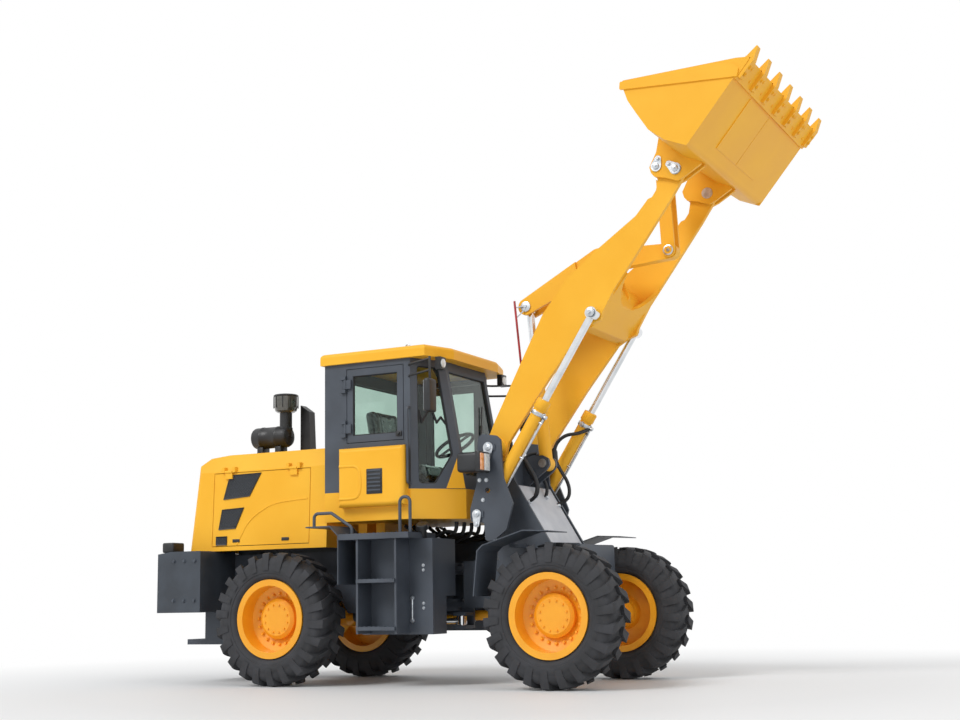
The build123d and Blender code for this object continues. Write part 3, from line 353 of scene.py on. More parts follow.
def tyre_mesh():
    """One tyre about the Y axis at the origin, its lugs swept forward."""
    bm = bmesh.new()
    base = TYRE_R - LUG_DEPTH
    profile = [
        (0.306, -0.126), (0.328, -0.139), (0.347, -0.150), (0.362, -0.166), (0.372, -0.182), (0.384, -0.188),
        (0.400, -0.190), (0.404, -0.196), (0.425, -0.200), (0.452, -0.202), (0.458, -0.198), (0.480, -0.196),
        (0.505, -0.190), (0.530, -0.172), (base - 0.008, -0.140), (base, -0.100), (base, 0.0),
    ]
    outline = profile + [(r, -y) for r, y in reversed(profile[:-1])]
    ring = [bm.verts.new((r, y, 0)) for r, y in outline]
    loop = [bm.edges.new((a, b)) for a, b in zip(ring, ring[1:] + ring[:1])]
    bmesh.ops.spin(bm, geom=ring + loop, cent=(0, 0, 0), axis=(0, 1, 0), angle=2 * pi, steps=88,
                   use_merge=True)
    for side in (-1, 1):
        lug = bmesh.new()
        bmesh.ops.create_cube(lug, size=1.0)
        across = [e for e in lug.edges if abs(e.verts[0].co.y - e.verts[1].co.y) > 0.5]
        bmesh.ops.subdivide_edges(lug, edges=across, cuts=7, use_grid_fill=True)
        rims = [e for e in lug.edges if all(v.co.z > 0.4 for v in e.verts) and len(e.link_faces) == 2
                and any(abs(f.normal.z) < 0.5 for f in e.link_faces)]
        soften(lug, 0.05, 1, rims)
        for v in lug.verts:
            part = v.co.y + 0.5
            y = 0.012 + part * (TYRE_HALF - 0.010)
            wide = 0.062 + 0.016 * part
            sweep = 0.085 * (part ** 0.8)
            arc = v.co.x * wide + sweep + (0 if side > 0 else pi * TYRE_R / LUGS)
            top = shoulder_radius(y)
            r = top if v.co.z > 0.3 else top - LUG_DEPTH - 0.012
            v.co = (r * sin(arc / TYRE_R), side * y, r * cos(arc / TYRE_R))
        bmesh.ops.recalc_face_normals(lug, faces=lug.faces)
        bmesh.ops.spin(lug, geom=lug.verts[:] + lug.edges[:] + lug.faces[:], cent=(0, 0, 0), axis=(0, 1, 0),
                       angle=2 * pi * (LUGS - 1) / LUGS, steps=LUGS - 1, use_duplicate=True)
        merge(bm, lug)
    return bm


for label, (axle_x, side) in WHEELS.items():
    bm = tyre_mesh()
    bmesh.ops.rotate(bm, verts=bm.verts, cent=(0, 0, 0), matrix=Matrix.Rotation(0.11 * len(label), 3, "Y"))
    bmesh.ops.translate(bm, verts=bm.verts, vec=(axle_x, side * TRACK_HALF, AXLE_Z))
    tyre = finish_piece(bm, f"{label}_lugged_tyre", f"{label}_wheel", tyre_rubber)
    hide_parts(f"{label}_tyre")

    # Wheel nuts on the dish, cover bolts on the hub
    studs = bmesh.new()
    out = Vector((0, side, 0))
    for i in range(20):
        a = 2 * pi * i / 20
        spot = Vector((axle_x + 0.222 * cos(a), side * (TRACK_HALF + 0.003), AXLE_Z + 0.222 * sin(a)))
        hex_bolt(studs, spot, out, 0.0125, 0.018)
    for i in range(12):
        a = 2 * pi * (i + 0.5) / 12
        spot = Vector((axle_x + 0.122 * cos(a), side * (TRACK_HALF + 0.0615), AXLE_Z + 0.122 * sin(a)))
        hex_bolt(studs, spot, out, 0.0085, 0.010)
    finish_piece(studs, f"{label}_wheel_nuts", f"{label}_wheel", rim_enamel, smooth=30)


# Pin keepers: zinc teardrop plates with the pin's end and one bolt
def pin_keeper(bm, pin, bolt, out, big=0.046, small=0.027):
    """Adds one keeper on a face whose outward direction is out."""
    pin, bolt, out = Vector(pin), Vector(bolt), Vector(out)
    part = bmesh.new()
    for centre, radius in ((pin, big), (bolt, small)):
        for level in (0.0, 0.010):
            ring = bmesh.ops.create_circle(part, segments=24, radius=radius)["verts"]
            bmesh.ops.rotate(part, verts=ring, cent=(0, 0, 0), matrix=along(out))
            bmesh.ops.translate(part, verts=ring, vec=centre + out * level)
    hull = bmesh.ops.convex_hull(part, input=part.verts)
    loose = {v for v in hull["geom_interior"] + hull["geom_unused"] if isinstance(v, bmesh.types.BMVert)}
    bmesh.ops.delete(part, geom=list(loose), context="VERTS")
    bmesh.ops.dissolve_limit(part, angle_limit=radians(2), verts=part.verts, edges=part.edges)
    bmesh.ops.delete(part, geom=[e for e in part.edges if not e.link_faces], context="EDGES")
    merge(bm, part)
    round_bar(bm, pin + out * 0.004, pin + out * 0.020, big * 0.62, 24, 0.003)
    round_bar(bm, pin + out * 0.018, pin + out * 0.026, big * 0.16, 10, 0.001)
    hex_bolt(bm, bolt + out * 0.010, out, small * 0.48, 0.012)


TOWER_FACE, EAR_FACE = 0.611, 0.4885
tower_keepers, ear_keepers, pin_ends = bmesh.new(), bmesh.new(), bmesh.new()
for side in (-1, 1):
    out = Vector((0, side, 0))
    pin_keeper(tower_keepers, BOOM_PIVOT + out * TOWER_FACE,
               BOOM_PIVOT + out * TOWER_FACE + Vector((-0.006, 0, -0.084)), out)
    pin_keeper(tower_keepers, LIFT_BASE + out * TOWER_FACE,
               LIFT_BASE + out * TOWER_FACE + Vector((-0.002, 0, -0.084)), out, 0.042)
    pin_keeper(ear_keepers, BUCKET_PIN + out * EAR_FACE,
               BUCKET_PIN + out * EAR_FACE + Vector((-0.052, 0, 0.045)), out)
    pin_keeper(ear_keepers, from_axle(0.894, side * 0.4805, 4.290), from_axle(0.914, side * 0.4805, 4.352),
               out)
    round_bar(pin_ends, LIFT_EYE + out * 0.560, LIFT_EYE + out * 0.578, 0.040, 24, 0.006)
    hex_bolt(pin_ends, LIFT_EYE + out * 0.578, out, 0.012, 0.010)
finish_piece(tower_keepers, "tower_pin_keepers", "front_frame", zinc_plate)
finish_piece(ear_keepers, "bucket_ear_keepers", "bucket", zinc_plate)
finish_piece(pin_ends, "lift_eye_caps", "lift_rods", zinc_plate)

link_caps, rocker_caps = bmesh.new(), bmesh.new()
for side in (-1, 1):
    out = Vector((0, side, 0))
    round_bar(link_caps, ROCKER_LOW + out * 0.077, ROCKER_LOW + out * 0.083, 0.047, 28, 0.002)
    hex_bolt(link_caps, ROCKER_LOW + out * 0.084, out, 0.012, 0.008)
    round_bar(rocker_caps, ROCKER_TOP + out * 0.0885, ROCKER_TOP + out * 0.100, 0.048, 28, 0.003)
    hex_bolt(rocker_caps, ROCKER_TOP + out * 0.100, out, 0.012, 0.008)
finish_piece(link_caps, "link_pin_caps", "link", zinc_plate)
finish_piece(rocker_caps, "rocker_fork_pin_caps", "rocker", zinc_plate)

# Bolt rows on the tower, the counterweight and the mudguards
frame_bolts = bmesh.new()
for side in (-1, 1):
    out = Vector((0, side, 0))
    for x, z in ((-0.765, 1.730), (-0.700, 1.728), (-0.735, 1.560)):
        hex_bolt(frame_bolts, from_axle(x, side * 0.6, z), out, 0.013, 0.010)
    for x in (-0.46, -0.44):
        for y in (0.66, 0.94):
            hex_bolt(frame_bolts, from_axle(x, side * y, 1.1945 + (x + 0.46) * 0.3), (0, 0, 1), 0.009, 0.007)
finish_piece(frame_bolts, "tower_bolts", "front_frame", zinc_plate, smooth=30)
rear_bolts = bmesh.new()
for side in (-1, 1):
    for x in (-0.90, -1.02, -1.14):
        for z in (0.76, 1.12):
            hex_bolt(rear_bolts, (REAR_X + x, side * 0.860, z), (0, side, 0), 0.014, 0.012)
finish_piece(rear_bolts, "counterweight_bolts", "rear_frame", slate_enamel, smooth=30)


# Hood doors: black framed windows with woven wire, a square vent, and a raised sweep line
def hood_side(z):
    """Half width of the hood at a level."""
    return 0.630 - 0.030 * (z - 1.2103) / 0.7397


def on_hood(x, z, side, proud=0.0):
    """Place on the hood's side, measured from the front axle."""
    return from_axle(x, side * (hood_side(z) + proud), z)


HOOD_WINDOWS = {
    "upper": [(-3.396, 1.915), (-3.036, 1.922), (-3.162, 1.706), (-3.460, 1.686)],
    "lower": [(-3.471, 1.595), (-3.221, 1.606), (-3.310, 1.413), (-3.505, 1.405)],
    "square": [(-3.530, 1.345), (-3.405, 1.345), (-3.405, 1.262), (-3.530, 1.262)],
}
for label, side in (("right", -1), ("left", 1)):
    surround, wires = bmesh.new(), bmesh.new()
    out = Vector((0, side, 0.04)).normalized()
    for name, corners in HOOD_WINDOWS.items():
        part = bmesh.new()
        face = part.faces.new([part.verts.new(on_hood(x, z, side, -0.004)) for x, z in corners])
        grown = bmesh.ops.extrude_face_region(part, geom=[face])["geom"]
        bmesh.ops.translate(part, verts=[v for v in grown if isinstance(v, bmesh.types.BMVert)],
                            vec=out * 0.014)
        front = max((f for f in grown if isinstance(f, bmesh.types.BMFace)), key=lambda f: f.calc_area())
        bmesh.ops.inset_region(part, faces=[front], thickness=0.016, depth=0.0)
        bmesh.ops.translate(part, verts=front.verts[:], vec=-out * 0.009)
        bmesh.ops.recalc_face_normals(part, faces=part.faces)
        soften(part, 0.0025, 2)
        merge(surround, part)
        net = bmesh.new()
        centre = sum((on_hood(x, z, side) for x, z in corners), Vector()) / len(corners)
        bmesh.ops.create_grid(net, x_segments=24, y_segments=24, size=0.26)
        bmesh.ops.wireframe(net, faces=net.faces[:], thickness=0.0035, use_even_offset=True, use_replace=True)
        bmesh.ops.rotate(net, verts=net.verts, cent=(0, 0, 0), matrix=Matrix.Rotation(radians(45), 3, "Z"))
        bmesh.ops.rotate(net, verts=net.verts, cent=(0, 0, 0), matrix=along(out))
        bmesh.ops.translate(net, verts=net.verts, vec=centre + out * 0.003)
        for (xa, za), (xb, zb) in zip(corners, corners[1:] + corners[:1]):
            a, b = on_hood(xa, za, side), on_hood(xb, zb, side)
            away = (b - a).cross(out).normalized()
            if away.dot(a - centre) < 0:
                away = -away
            bmesh.ops.bisect_plane(net, geom=net.verts[:] + net.edges[:] + net.faces[:], dist=1e-6,
                                   plane_co=a - away * 0.012, plane_no=away, clear_outer=True)
        merge(wires, net)
    finish_piece(surround, f"hood_window_surrounds_{label}", f"hood_door_{label}", black_abs)
    finish_piece(wires, f"hood_window_wire_{label}", f"hood_door_{label}", slate_enamel,
                 smooth=0)
    sweep = [(-3.293, 1.262), (-3.262, 1.325), (-3.159, 1.492), (-2.942, 1.616), (-2.760, 1.648),
             (-2.520, 1.658)]
    tube_along([on_hood(x, z, side, -0.003) for x, z in sweep], 0.009, f"hood_sweep_line_{label}",
               f"hood_door_{label}", yellow_enamel)
    latch = bmesh.new()
    for x in (-3.30, -2.75):
        rounded_block(latch, on_hood(x - 0.04, 1.285, side, 0.0) - Vector((0, 0.006, 0)),
                      on_hood(x + 0.04, 1.315, side, 0.0) + Vector((0, 0.006, 0)), 0.004)
    finish_piece(latch, f"hood_door_latches_{label}", f"hood_door_{label}", black_abs)

# Tail grille: louvre blades across the opening
blades = bmesh.new()
for i in range(13):
    z = 1.355 + i * 0.046
    x = REAR_X - 1.165 + (z - 1.2103) * 0.0985
    rounded_block(blades, (x - 0.006, -0.425, z - 0.014), (x + 0.010, 0.425, z + 0.014), 0.004, 2,
                  Matrix.Rotation(radians(35), 3, "Y"), (x, 0, z))
finish_piece(blades, "tail_grille_louvres", "rear_frame", slate_enamel)

# Rubber seals round every pane, on the outline of the pane's outer face
SEAL_R = 0.011


def pane_seals(node, body, name):
    """Sealing rubber that follows the edges of a glass node's outward faces."""
    bm = bmesh.new()
    bm.from_mesh(nodes[node].data)
    bmesh.ops.remove_doubles(bm, verts=bm.verts, dist=1e-5)
    bmesh.ops.dissolve_limit(bm, angle_limit=radians(6), verts=bm.verts, edges=bm.edges)
    middle = from_axle(-1.7, 0, 2.2)
    seal = bmesh.new()
    for face in bm.faces:
        centre = face.calc_center_median()
        if face.calc_area() > 0.08 and face.normal.dot(centre - middle) > 0:
            points = [v.co.copy() for v in face.verts]
            for a, b in zip(points, points[1:] + points[:1]):
                if (b - a).length > 0.002:
                    round_bar(seal, a, b, SEAL_R, 8)
            for point in points:
                ball = bmesh.new()
                bmesh.ops.create_icosphere(ball, subdivisions=2, radius=SEAL_R)
                bmesh.ops.translate(ball, verts=ball.verts, vec=point)
                merge(seal, ball)
    bm.free()
    return finish_piece(seal, name, body, seal_rubber)


pane_seals("cab_glass", "rear_frame", "cab_pane_seals")
pane_seals("right_door_glass", "right_door", "right_door_pane_seal")
pane_seals("left_door_glass", "left_door", "left_door_pane_seal")

# Mirrors: two-bar arms, a rounded housing and silvered glass
MIRROR_Y = 0.950
arms, housings, mirror_glass = bmesh.new(), bmesh.new(), bmesh.new()
for side in (-1, 1):
    post = from_axle(-1.045, side * MIRROR_Y, 0)
    for z in (2.665, 2.765):
        knee = from_axle(-1.330, side * 0.790, z)
        round_bar(arms, from_axle(-1.362, side * 0.752, z), knee, 0.010, 12)
        round_bar(arms, knee, post + Vector((0, 0, z)), 0.010, 12)
    round_bar(arms, post + Vector((0, 0, 2.585)), post + Vector((0, 0, 2.785)), 0.011, 12, 0.003)
    rounded_block(housings, from_axle(-1.078, side * MIRROR_Y - 0.072, 2.300),
                  from_axle(-1.014, side * MIRROR_Y + 0.072, 2.592), 0.026, 4)
    rounded_block(mirror_glass, from_axle(-1.0805, side * MIRROR_Y - 0.058, 2.318),
                  from_axle(-1.076, side * MIRROR_Y + 0.058, 2.574), 0.002, 1)
mirror_arms = finish_piece(arms, "mirror_arms", "rear_frame", black_abs)
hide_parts("mirrors")
finish_piece(housings, "mirror_housings", "rear_frame", black_abs)
finish_piece(mirror_glass, "mirror_faces", "rear_frame", silvered_glass)

# Head lamps: moulded housings on arms, a clear lens and an amber corner
LAMP_Y = 0.735
lamp_shell, lamp_clear, lamp_amber = bmesh.new(), bmesh.new(), bmesh.new()
for side in (-1, 1):
    rounded_block(lamp_shell, from_axle(-0.872, side * LAMP_Y - 0.090, 1.785),
                  from_axle(-0.652, side * LAMP_Y + 0.090, 1.955), 0.030, 4)
    rounded_block(lamp_shell, from_axle(-0.690, side * LAMP_Y - 0.095, 1.780),
                  from_axle(-0.642, side * LAMP_Y + 0.095, 1.960), 0.014, 3)
    inner, outer = sorted((side * 0.652, side * 0.752))
    rounded_block(lamp_clear, from_axle(-0.648, inner, 1.798), from_axle(-0.634, outer, 1.942), 0.006, 3)
    inner, outer = sorted((side * 0.760, side * 0.822))
    rounded_block(lamp_amber, from_axle(-0.648, inner, 1.798), from_axle(-0.634, outer, 1.942), 0.006, 3)
    round_bar(lamp_shell, from_axle(-0.760, side * 0.600, 1.860), from_axle(-0.760, side * 0.660, 1.860),
              0.024, 16)
lamp_piece = finish_piece(lamp_shell, "head_lamp_shells", "front_frame", black_abs)
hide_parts("headlamps")
finish_piece(lamp_clear, "head_lamp_lenses", "front_frame", clear_lens)
finish_piece(lamp_amber, "turn_lamp_lenses", "front_frame", amber_lens)

# Roof lamps: round lenses in the corner housings
lamp_glass = bmesh.new()
for side in (-1, 1):
    for x, way in ((-1.100, 1), (-2.270, -1)):
        round_bar(lamp_glass, from_axle(x - way * 0.01, side * 0.61, 2.775),
                  from_axle(x + way * 0.010, side * 0.61, 2.775), 0.040, 24, 0.006)
finish_piece(lamp_glass, "roof_lamp_lenses", "rear_frame", clear_lens)

# Bulged cover: a D-shaped pressing open at the back, and a black louvred vent
vent_frame, vent_bars = bmesh.new(), bmesh.new()
COVER_Y = -0.840
pressing = [(-2.030, 1.899), (-1.950, 1.899), (-1.850, 1.897), (-1.812, 1.830),
            (-1.812, 1.680), (-1.850, 1.614), (-1.950, 1.612), (-2.030, 1.612)]
tube_along([from_axle(x, COVER_Y + 0.006, z) for x, z in pressing], 0.015, "side_cover_pressing",
           "rear_frame", yellow_enamel)
rounded_block(vent_frame, from_axle(-1.750, COVER_Y - 0.006, 1.645),
              from_axle(-1.590, COVER_Y + 0.004, 1.865), 0.005, 2)
for i in range(6):
    z = 1.670 + i * 0.034
    rounded_block(vent_bars, from_axle(-1.735, COVER_Y - 0.013, z),
                  from_axle(-1.605, COVER_Y - 0.004, z + 0.016), 0.003, 1)
finish_piece(vent_frame, "side_cover_vent_frame", "rear_frame", black_abs)
finish_piece(vent_bars, "side_cover_vent_bars", "rear_frame", slate_enamel)

# Air cleaner: canister with strap bands, neck, smoked dust bowl in ribs under a cap
FILTER_Z = 2.322
BOWL_X, BOWL_Z = REAR_X - 0.490, 2.553
cleaner, bowl, clips = bmesh.new(), bmesh.new(), bmesh.new()
spun(cleaner, [(0, 0), (0.075, 0.002), (0.096, 0.012), (0.104, 0.03), (0.104, 0.09), (0.108, 0.095),
               (0.108, 0.115), (0.104, 0.12), (0.104, 0.27), (0.108, 0.275), (0.108, 0.295),
               (0.104, 0.30), (0.104, 0.375), (0.09, 0.40), (0.05, 0.41), (0, 0.41)],
     (REAR_X - 0.850, 0, FILTER_Z), (1, 0, 0))
spun(cleaner, [(0, 0), (0.062, 0), (0.062, 0.05), (0.066, 0.055), (0.066, 0.085), (0.060, 0.09),
               (0.060, 0.235), (0, 0.235)],
     (BOWL_X, 0, FILTER_Z), (0, 0, 1))
spun(cleaner, [(0, 0.158), (0.118, 0.158), (0.122, 0.163), (0.122, 0.172), (0.112, 0.180), (0.04, 0.184),
               (0, 0.184)],
     (BOWL_X, 0, BOWL_Z), (0, 0, 1))
spun(bowl, [(0, 0), (0.080, 0.002), (0.104, 0.018), (0.116, 0.06), (0.118, 0.157), (0, 0.157)],
     (BOWL_X, 0, BOWL_Z), (0, 0, 1))
for i in range(10):
    a = 2 * pi * i / 10
    spot = Vector((BOWL_X + 0.119 * cos(a), 0.119 * sin(a), 2.60))
    round_bar(clips, spot, spot + Vector((0, 0, 0.112)), 0.004, 8)
rounded_block(cleaner, (REAR_X - 0.79, -0.06, 2.1172), (REAR_X - 0.72, 0.06, 2.23), 0.008)
rounded_block(cleaner, (REAR_X - 0.58, -0.06, 2.1172), (REAR_X - 0.51, 0.06, 2.23), 0.008)
air_cleaner = finish_piece(cleaner, "air_cleaner", "rear_frame", black_abs)
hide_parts("air_filter")
finish_piece(bowl, "air_cleaner_dust_bowl", "rear_frame", smoked_bowl)
finish_piece(clips, "air_cleaner_bowl_ribs", "rear_frame", black_abs)

# Steps: tear-drop grips punched up from the treads and decks
grips = bmesh.new()


def grip_rows(x0, x1, y0, y1, z, pitch=0.045):
    """Adds rows of small pressed studs over a tread."""
    across, deep = int((x1 - x0) / pitch), int((y1 - y0) / pitch)
    for i in range(across):
        for j in range(deep):
            part = bmesh.new()
            bmesh.ops.create_cone(part, cap_ends=True, segments=6, radius1=0.011, radius2=0.006, depth=0.005)
            shift = pitch * (0.75 if j % 2 else 0.5)
            bmesh.ops.translate(part, verts=part.verts,
                                vec=(x0 + shift + i * pitch, y0 + (j + 0.5) * pitch, z + 0.0022))
            merge(grips, part)


for side in (-1, 1):
    near, far = sorted((side * 0.765, side * 0.975))
    for z in (0.510, 0.910):
        grip_rows(PIVOT_X - 0.425, PIVOT_X - 0.065, near, far, z)
    near, far = sorted((side * 0.510, side * 0.975))
    grip_rows(REAR_X + 0.745, PIVOT_X + 0.060, near, far, 1.300)
finish_piece(grips, "step_grips", "rear_frame", slate_enamel, smooth=0)

# Tank: filler neck with its cap, and the level gauge
filler, gauge = bmesh.new(), bmesh.new()
spun(filler, [(0, 0), (0.036, 0), (0.036, 0.10), (0.052, 0.105), (0.052, 0.15), (0.046, 0.157), (0, 0.157)],
     (PIVOT_X + 0.070, -0.680, 1.235), (0.15, -0.45, 0.88), 24)
finish_piece(filler, "tank_filler", "rear_frame", black_abs)
round_bar(gauge, (PIVOT_X - 0.010, -0.7425, 0.56), (PIVOT_X - 0.010, -0.7425, 0.74), 0.010, 12, 0.003)
for z in (0.555, 0.745):
    hex_bolt(gauge, (PIVOT_X - 0.010, -0.740, z), (0, -1, 0), 0.014, 0.014)
for x, z in ((0.10, 0.98), (0.10, 1.02), (0.10, 0.66), (0.10, 0.70)):
    for side in (-1, 1):
        hex_bolt(gauge, (PIVOT_X + x, side * 0.740, z), (0, side, 0), 0.010, 0.008)
finish_piece(gauge, "tank_gauge_and_bolts", "rear_frame", zinc_plate)

# Boom: bosses at the pins, weld beads along the cross box
bosses, beads = bmesh.new(), bmesh.new()
for side in (-1, 1):
    out = Vector((0, side, 0))
    spun(bosses, [(0.040, 0), (0.098, 0), (0.098, 0.010), (0.092, 0.016), (0.040, 0.016)],
         BOOM_PIVOT + out * 0.4448, out, 36)
    for a, b in (((0.135, 2.990), (0.235, 3.000)), ((0.235, 3.000), (0.405, 3.205)),
                 ((0.075, 3.115), (0.250, 3.400))):
        round_bar(beads, from_axle(a[0], side * 0.398, a[1]), from_axle(b[0], side * 0.398, b[1]), 0.009, 8)
finish_piece(bosses, "boom_pivot_bosses", "boom", yellow_enamel)
finish_piece(beads, "boom_cross_box_welds", "boom", yellow_enamel)

# Bucket: bolts of the tooth adapters and of the cutting edge
FIRST_TOOTH_Y, TOOTH_PITCH = -0.985, 0.32833
edge_bolts = bmesh.new()
floor_way = (LIP - HEEL).normalized()
below = Vector((floor_way.z, 0, -floor_way.x))
for i in range(7):
    y = FIRST_TOOTH_Y + i * TOOTH_PITCH
    for back_by in (0.060, 0.125):
        hex_bolt(edge_bolts, LIP - floor_way * back_by + below * 0.0485 + Vector((0, y, 0)), below, 0.013,
                 0.009)
for i in range(6):
    y = FIRST_TOOTH_Y + (i + 0.5) * TOOTH_PITCH
    for back_by, shift in ((0.050, -0.05), (0.130, 0.05)):
        hex_bolt(edge_bolts, LIP - floor_way * back_by + below * 0.0182 + Vector((0, y + shift, 0)), below,
                 0.011, 0.006)
finish_piece(edge_bolts, "cutting_edge_bolts", "bucket", yellow_enamel, smooth=30)

# Lift and tilt cylinders: gland collars, feed pipes along the barrels
lift_way = (LIFT_EYE - LIFT_BASE).normalized()
tilt_way = (ROCKER_TOP - TILT_BASE).normalized()
collars, pipes, clamps = bmesh.new(), bmesh.new(), bmesh.new()
for side in (-1, 1):
    line = LIFT_BASE + Vector((0, side * 0.508, 0))
    spun(collars, [(0.0335, 1.040), (0.060, 1.040), (0.063, 1.044), (0.063, 1.122), (0.060, 1.128),
                   (0.0335, 1.129)],
         line, lift_way, 32)
    under = Vector((lift_way.z, 0, -lift_way.x)) * 0.072
    spun(clamps, [(0.0535, 0.985), (0.061, 0.985), (0.0625, 0.988), (0.0625, 1.017), (0.061, 1.020),
                  (0.0535, 1.020)],
         line, lift_way, 32)
    hex_bolt(clamps, line + lift_way * 1.0025 + under * 0.82, under, 0.020, 0.030)
    hex_bolt(clamps, line + lift_way * 1.0025 - Vector((0, side * 0.056, 0)), (0, -side, 0), 0.019, 0.022)
    round_bar(pipes, line + under + lift_way * 0.20, line + under + lift_way * 0.98, 0.011, 12)
    for t in (0.24, 0.60, 0.94):
        round_bar(pipes, line + under * 0.6 + lift_way * t, line + under * 1.12 + lift_way * t, 0.013, 12)
finish_piece(collars, "lift_gland_collars", "lift_barrels", yellow_enamel)
finish_piece(clamps, "lift_hose_clamps", "lift_barrels", zinc_plate)
finish_piece(pipes, "lift_feed_pipes", "lift_barrels", zinc_plate)
tilt_collar = bmesh.new()
spun(tilt_collar, [(0.037, 0.80), (0.064, 0.80), (0.067, 0.804), (0.067, 0.892), (0.064, 0.897),
                   (0.037, 0.899)],
     TILT_BASE, tilt_way, 32)
finish_piece(tilt_collar, "tilt_gland_collar", "tilt_barrel", yellow_enamel)

# Hoses: one from each lift gland to the deck plate, two up to the foot of the tilt cylinder
fittings = bmesh.new()
for label, side in (("right", -1), ("left", 1)):
    tube_along([from_axle(x, side * y, z) for x, y, z in (
        (-0.447, 0.300, 1.545), (-0.400, 0.318, 1.562), (-0.333, 0.335, 1.620), (-0.345, 0.348, 1.740),
        (-0.430, 0.355, 1.870), (-0.490, 0.358, 1.990), (-0.470, 0.358, 2.110), (-0.370, 0.362, 2.185),
        (-0.260, 0.410, 2.190), (-0.195, 0.495, 2.235))],
        0.016, f"lift_hose_{label}", ("front_frame", "lift_barrels"), hose_rubber,
        bends=True)
    tube_along([from_axle(x, side * y, z) for x, y, z in (
        (-0.476, 0.110, 1.600), (-0.448, 0.108, 1.650), (-0.462, 0.104, 1.740), (-0.530, 0.098, 1.830),
        (-0.575, 0.090, 1.915), (-0.545, 0.080, 1.985), (-0.470, 0.064, 1.985))],
        0.015, f"tilt_hose_{label}", ("front_frame", "tilt_pin"), hose_rubber, bends=True)
    hex_bolt(fittings, from_axle(-0.452, side * 0.298, 1.538), (0.86, side * 0.4, 0.3), 0.021, 0.034)
    hex_bolt(fittings, from_axle(-0.481, side * 0.111, 1.594), (0.86, 0, 0.51), 0.020, 0.034)
finish_piece(fittings, "deck_hose_fittings", "front_frame", zinc_plate, smooth=30)

# Deck plate: a pale sheet of painted highlight on the slanted plate between the towers, standing for the
# light it reflects
painted_highlight_sheet = bmesh.new()
slope = (from_axle(-0.215, 0, 1.160) - from_axle(-0.535, 0, 1.700)).normalized()
rounded_block(painted_highlight_sheet, (0.012, -0.335, 0.0003), (0.610, 0.335, 0.0063), 0.003, 2)
lay = Matrix((slope, (0, 1, 0), slope.cross(Vector((0, 1, 0))))).transposed()
bmesh.ops.rotate(painted_highlight_sheet, verts=painted_highlight_sheet.verts, cent=(0, 0, 0), matrix=lay)
bmesh.ops.translate(painted_highlight_sheet, verts=painted_highlight_sheet.verts, vec=from_axle(-0.535, 0, 1.700))
finish_piece(painted_highlight_sheet, "slanted_deck_highlight", "front_frame", deck_painted_highlight)

# Level rod: red indicator beside the tilt rod, on thin brackets
level_rod, level_guides = bmesh.new(), bmesh.new()
behind = Vector((-tilt_way.z, 0, tilt_way.x))
top = ROCKER_TOP + Vector((0, -0.135, 0)) + behind * 0.085
round_bar(level_rod, top + tilt_way * 0.06, top - tilt_way * 0.52, 0.010, 12, 0.002)
for down in (0.0, 0.10):
    round_bar(level_guides, top - tilt_way * down,
              ROCKER_TOP + Vector((0, -0.096, 0)) - tilt_way * down * 0.2, 0.006, 8)
finish_piece(level_rod, "bucket_level_rod", "tilt_rod", red_enamel)
finish_piece(level_guides, "bucket_level_brackets", "tilt_rod", zinc_plate)


# Cab corners: yellow panels under the slanted edge of the quarter panes
def on_quarter(s, z, side, proud):
    """Place on the angled front quarter of the cab, s going from the side wall to the front."""
    front = -1.000 - 0.2 * (z - 1.68) / 1.15
    return from_axle(-1.355 + s * (front + 1.355) + 0.70 * proud, side * (0.750 - 0.35 * s + 0.71 * proud), z)


for label, side in (("right", -1), ("left", 1)):
    panel = bmesh.new()
    corners = ((0.640, 1.684), (0.985, 1.684), (0.985, 1.985), (0.962, 1.985))
    inner, outer = [[panel.verts.new(on_quarter(s, z, side, proud)) for s, z in corners]
                    for proud in (0.001, 0.006)]
    bmesh.ops.convex_hull(panel, input=inner + outer)
    soften(panel, 0.0015, 1)
    finish_piece(panel, f"cab_corner_panel_{label}", "rear_frame", yellow_enamel, smooth=25)

# Lifting eye on the roof
eye = bmesh.new()
spun(eye, [(0.026 + 0.0065 * cos(2 * pi * i / 10), 0.0065 * sin(2 * pi * i / 10)) for i in range(11)],
     from_axle(-1.486, -0.550, 2.962), (0, 1, 0), 28)
finish_piece(eye, "roof_lifting_eye", "rear_frame", zinc_plate)

# Hoses under the cab floor, above the pivot
for i in range(6):
    y = -0.36 + 0.144 * i
    drop = 0.03 * (i % 3)
    tube_along([from_axle(*place) for place in (
        (-1.640, y, 1.385), (-1.520, y - 0.02, 1.290 - drop), (-1.380, y + 0.03, 1.265 - drop),
        (-1.230, y + 0.02, 1.330 - drop), (-1.120, y, 1.290), (-1.115, y - 0.01, 1.400))],
        0.017, f"pivot_hose_{i + 1}", "rear_frame", hose_rubber)

# Wiper and door handles
wiper = bmesh.new()
round_bar(wiper, from_axle(-1.055, -0.05, 1.86), from_axle(-1.118, 0.16, 2.30), 0.008, 10)
round_bar(wiper, from_axle(-1.084, 0.05, 2.06), from_axle(-1.145, 0.22, 2.48), 0.006, 8)
finish_piece(wiper, "windscreen_wiper", "rear_frame", black_abs)
for label, side, z in (("right", -1, 2.145), ("left", 1, 1.72)):
    handle = bmesh.new()
    near, far = sorted((side * 0.750, side * 0.762))
    rounded_block(handle, from_axle(-1.500, near, z), from_axle(-1.440, far, z + 0.045), 0.005, 2)
    round_bar(handle, from_axle(-1.470, side * 0.760, z + 0.022),
              from_axle(-1.470, side * 0.776, z + 0.022), 0.014, 16, 0.003)
    finish_piece(handle, f"{label}_door_handle", f"{label}_door", black_abs)

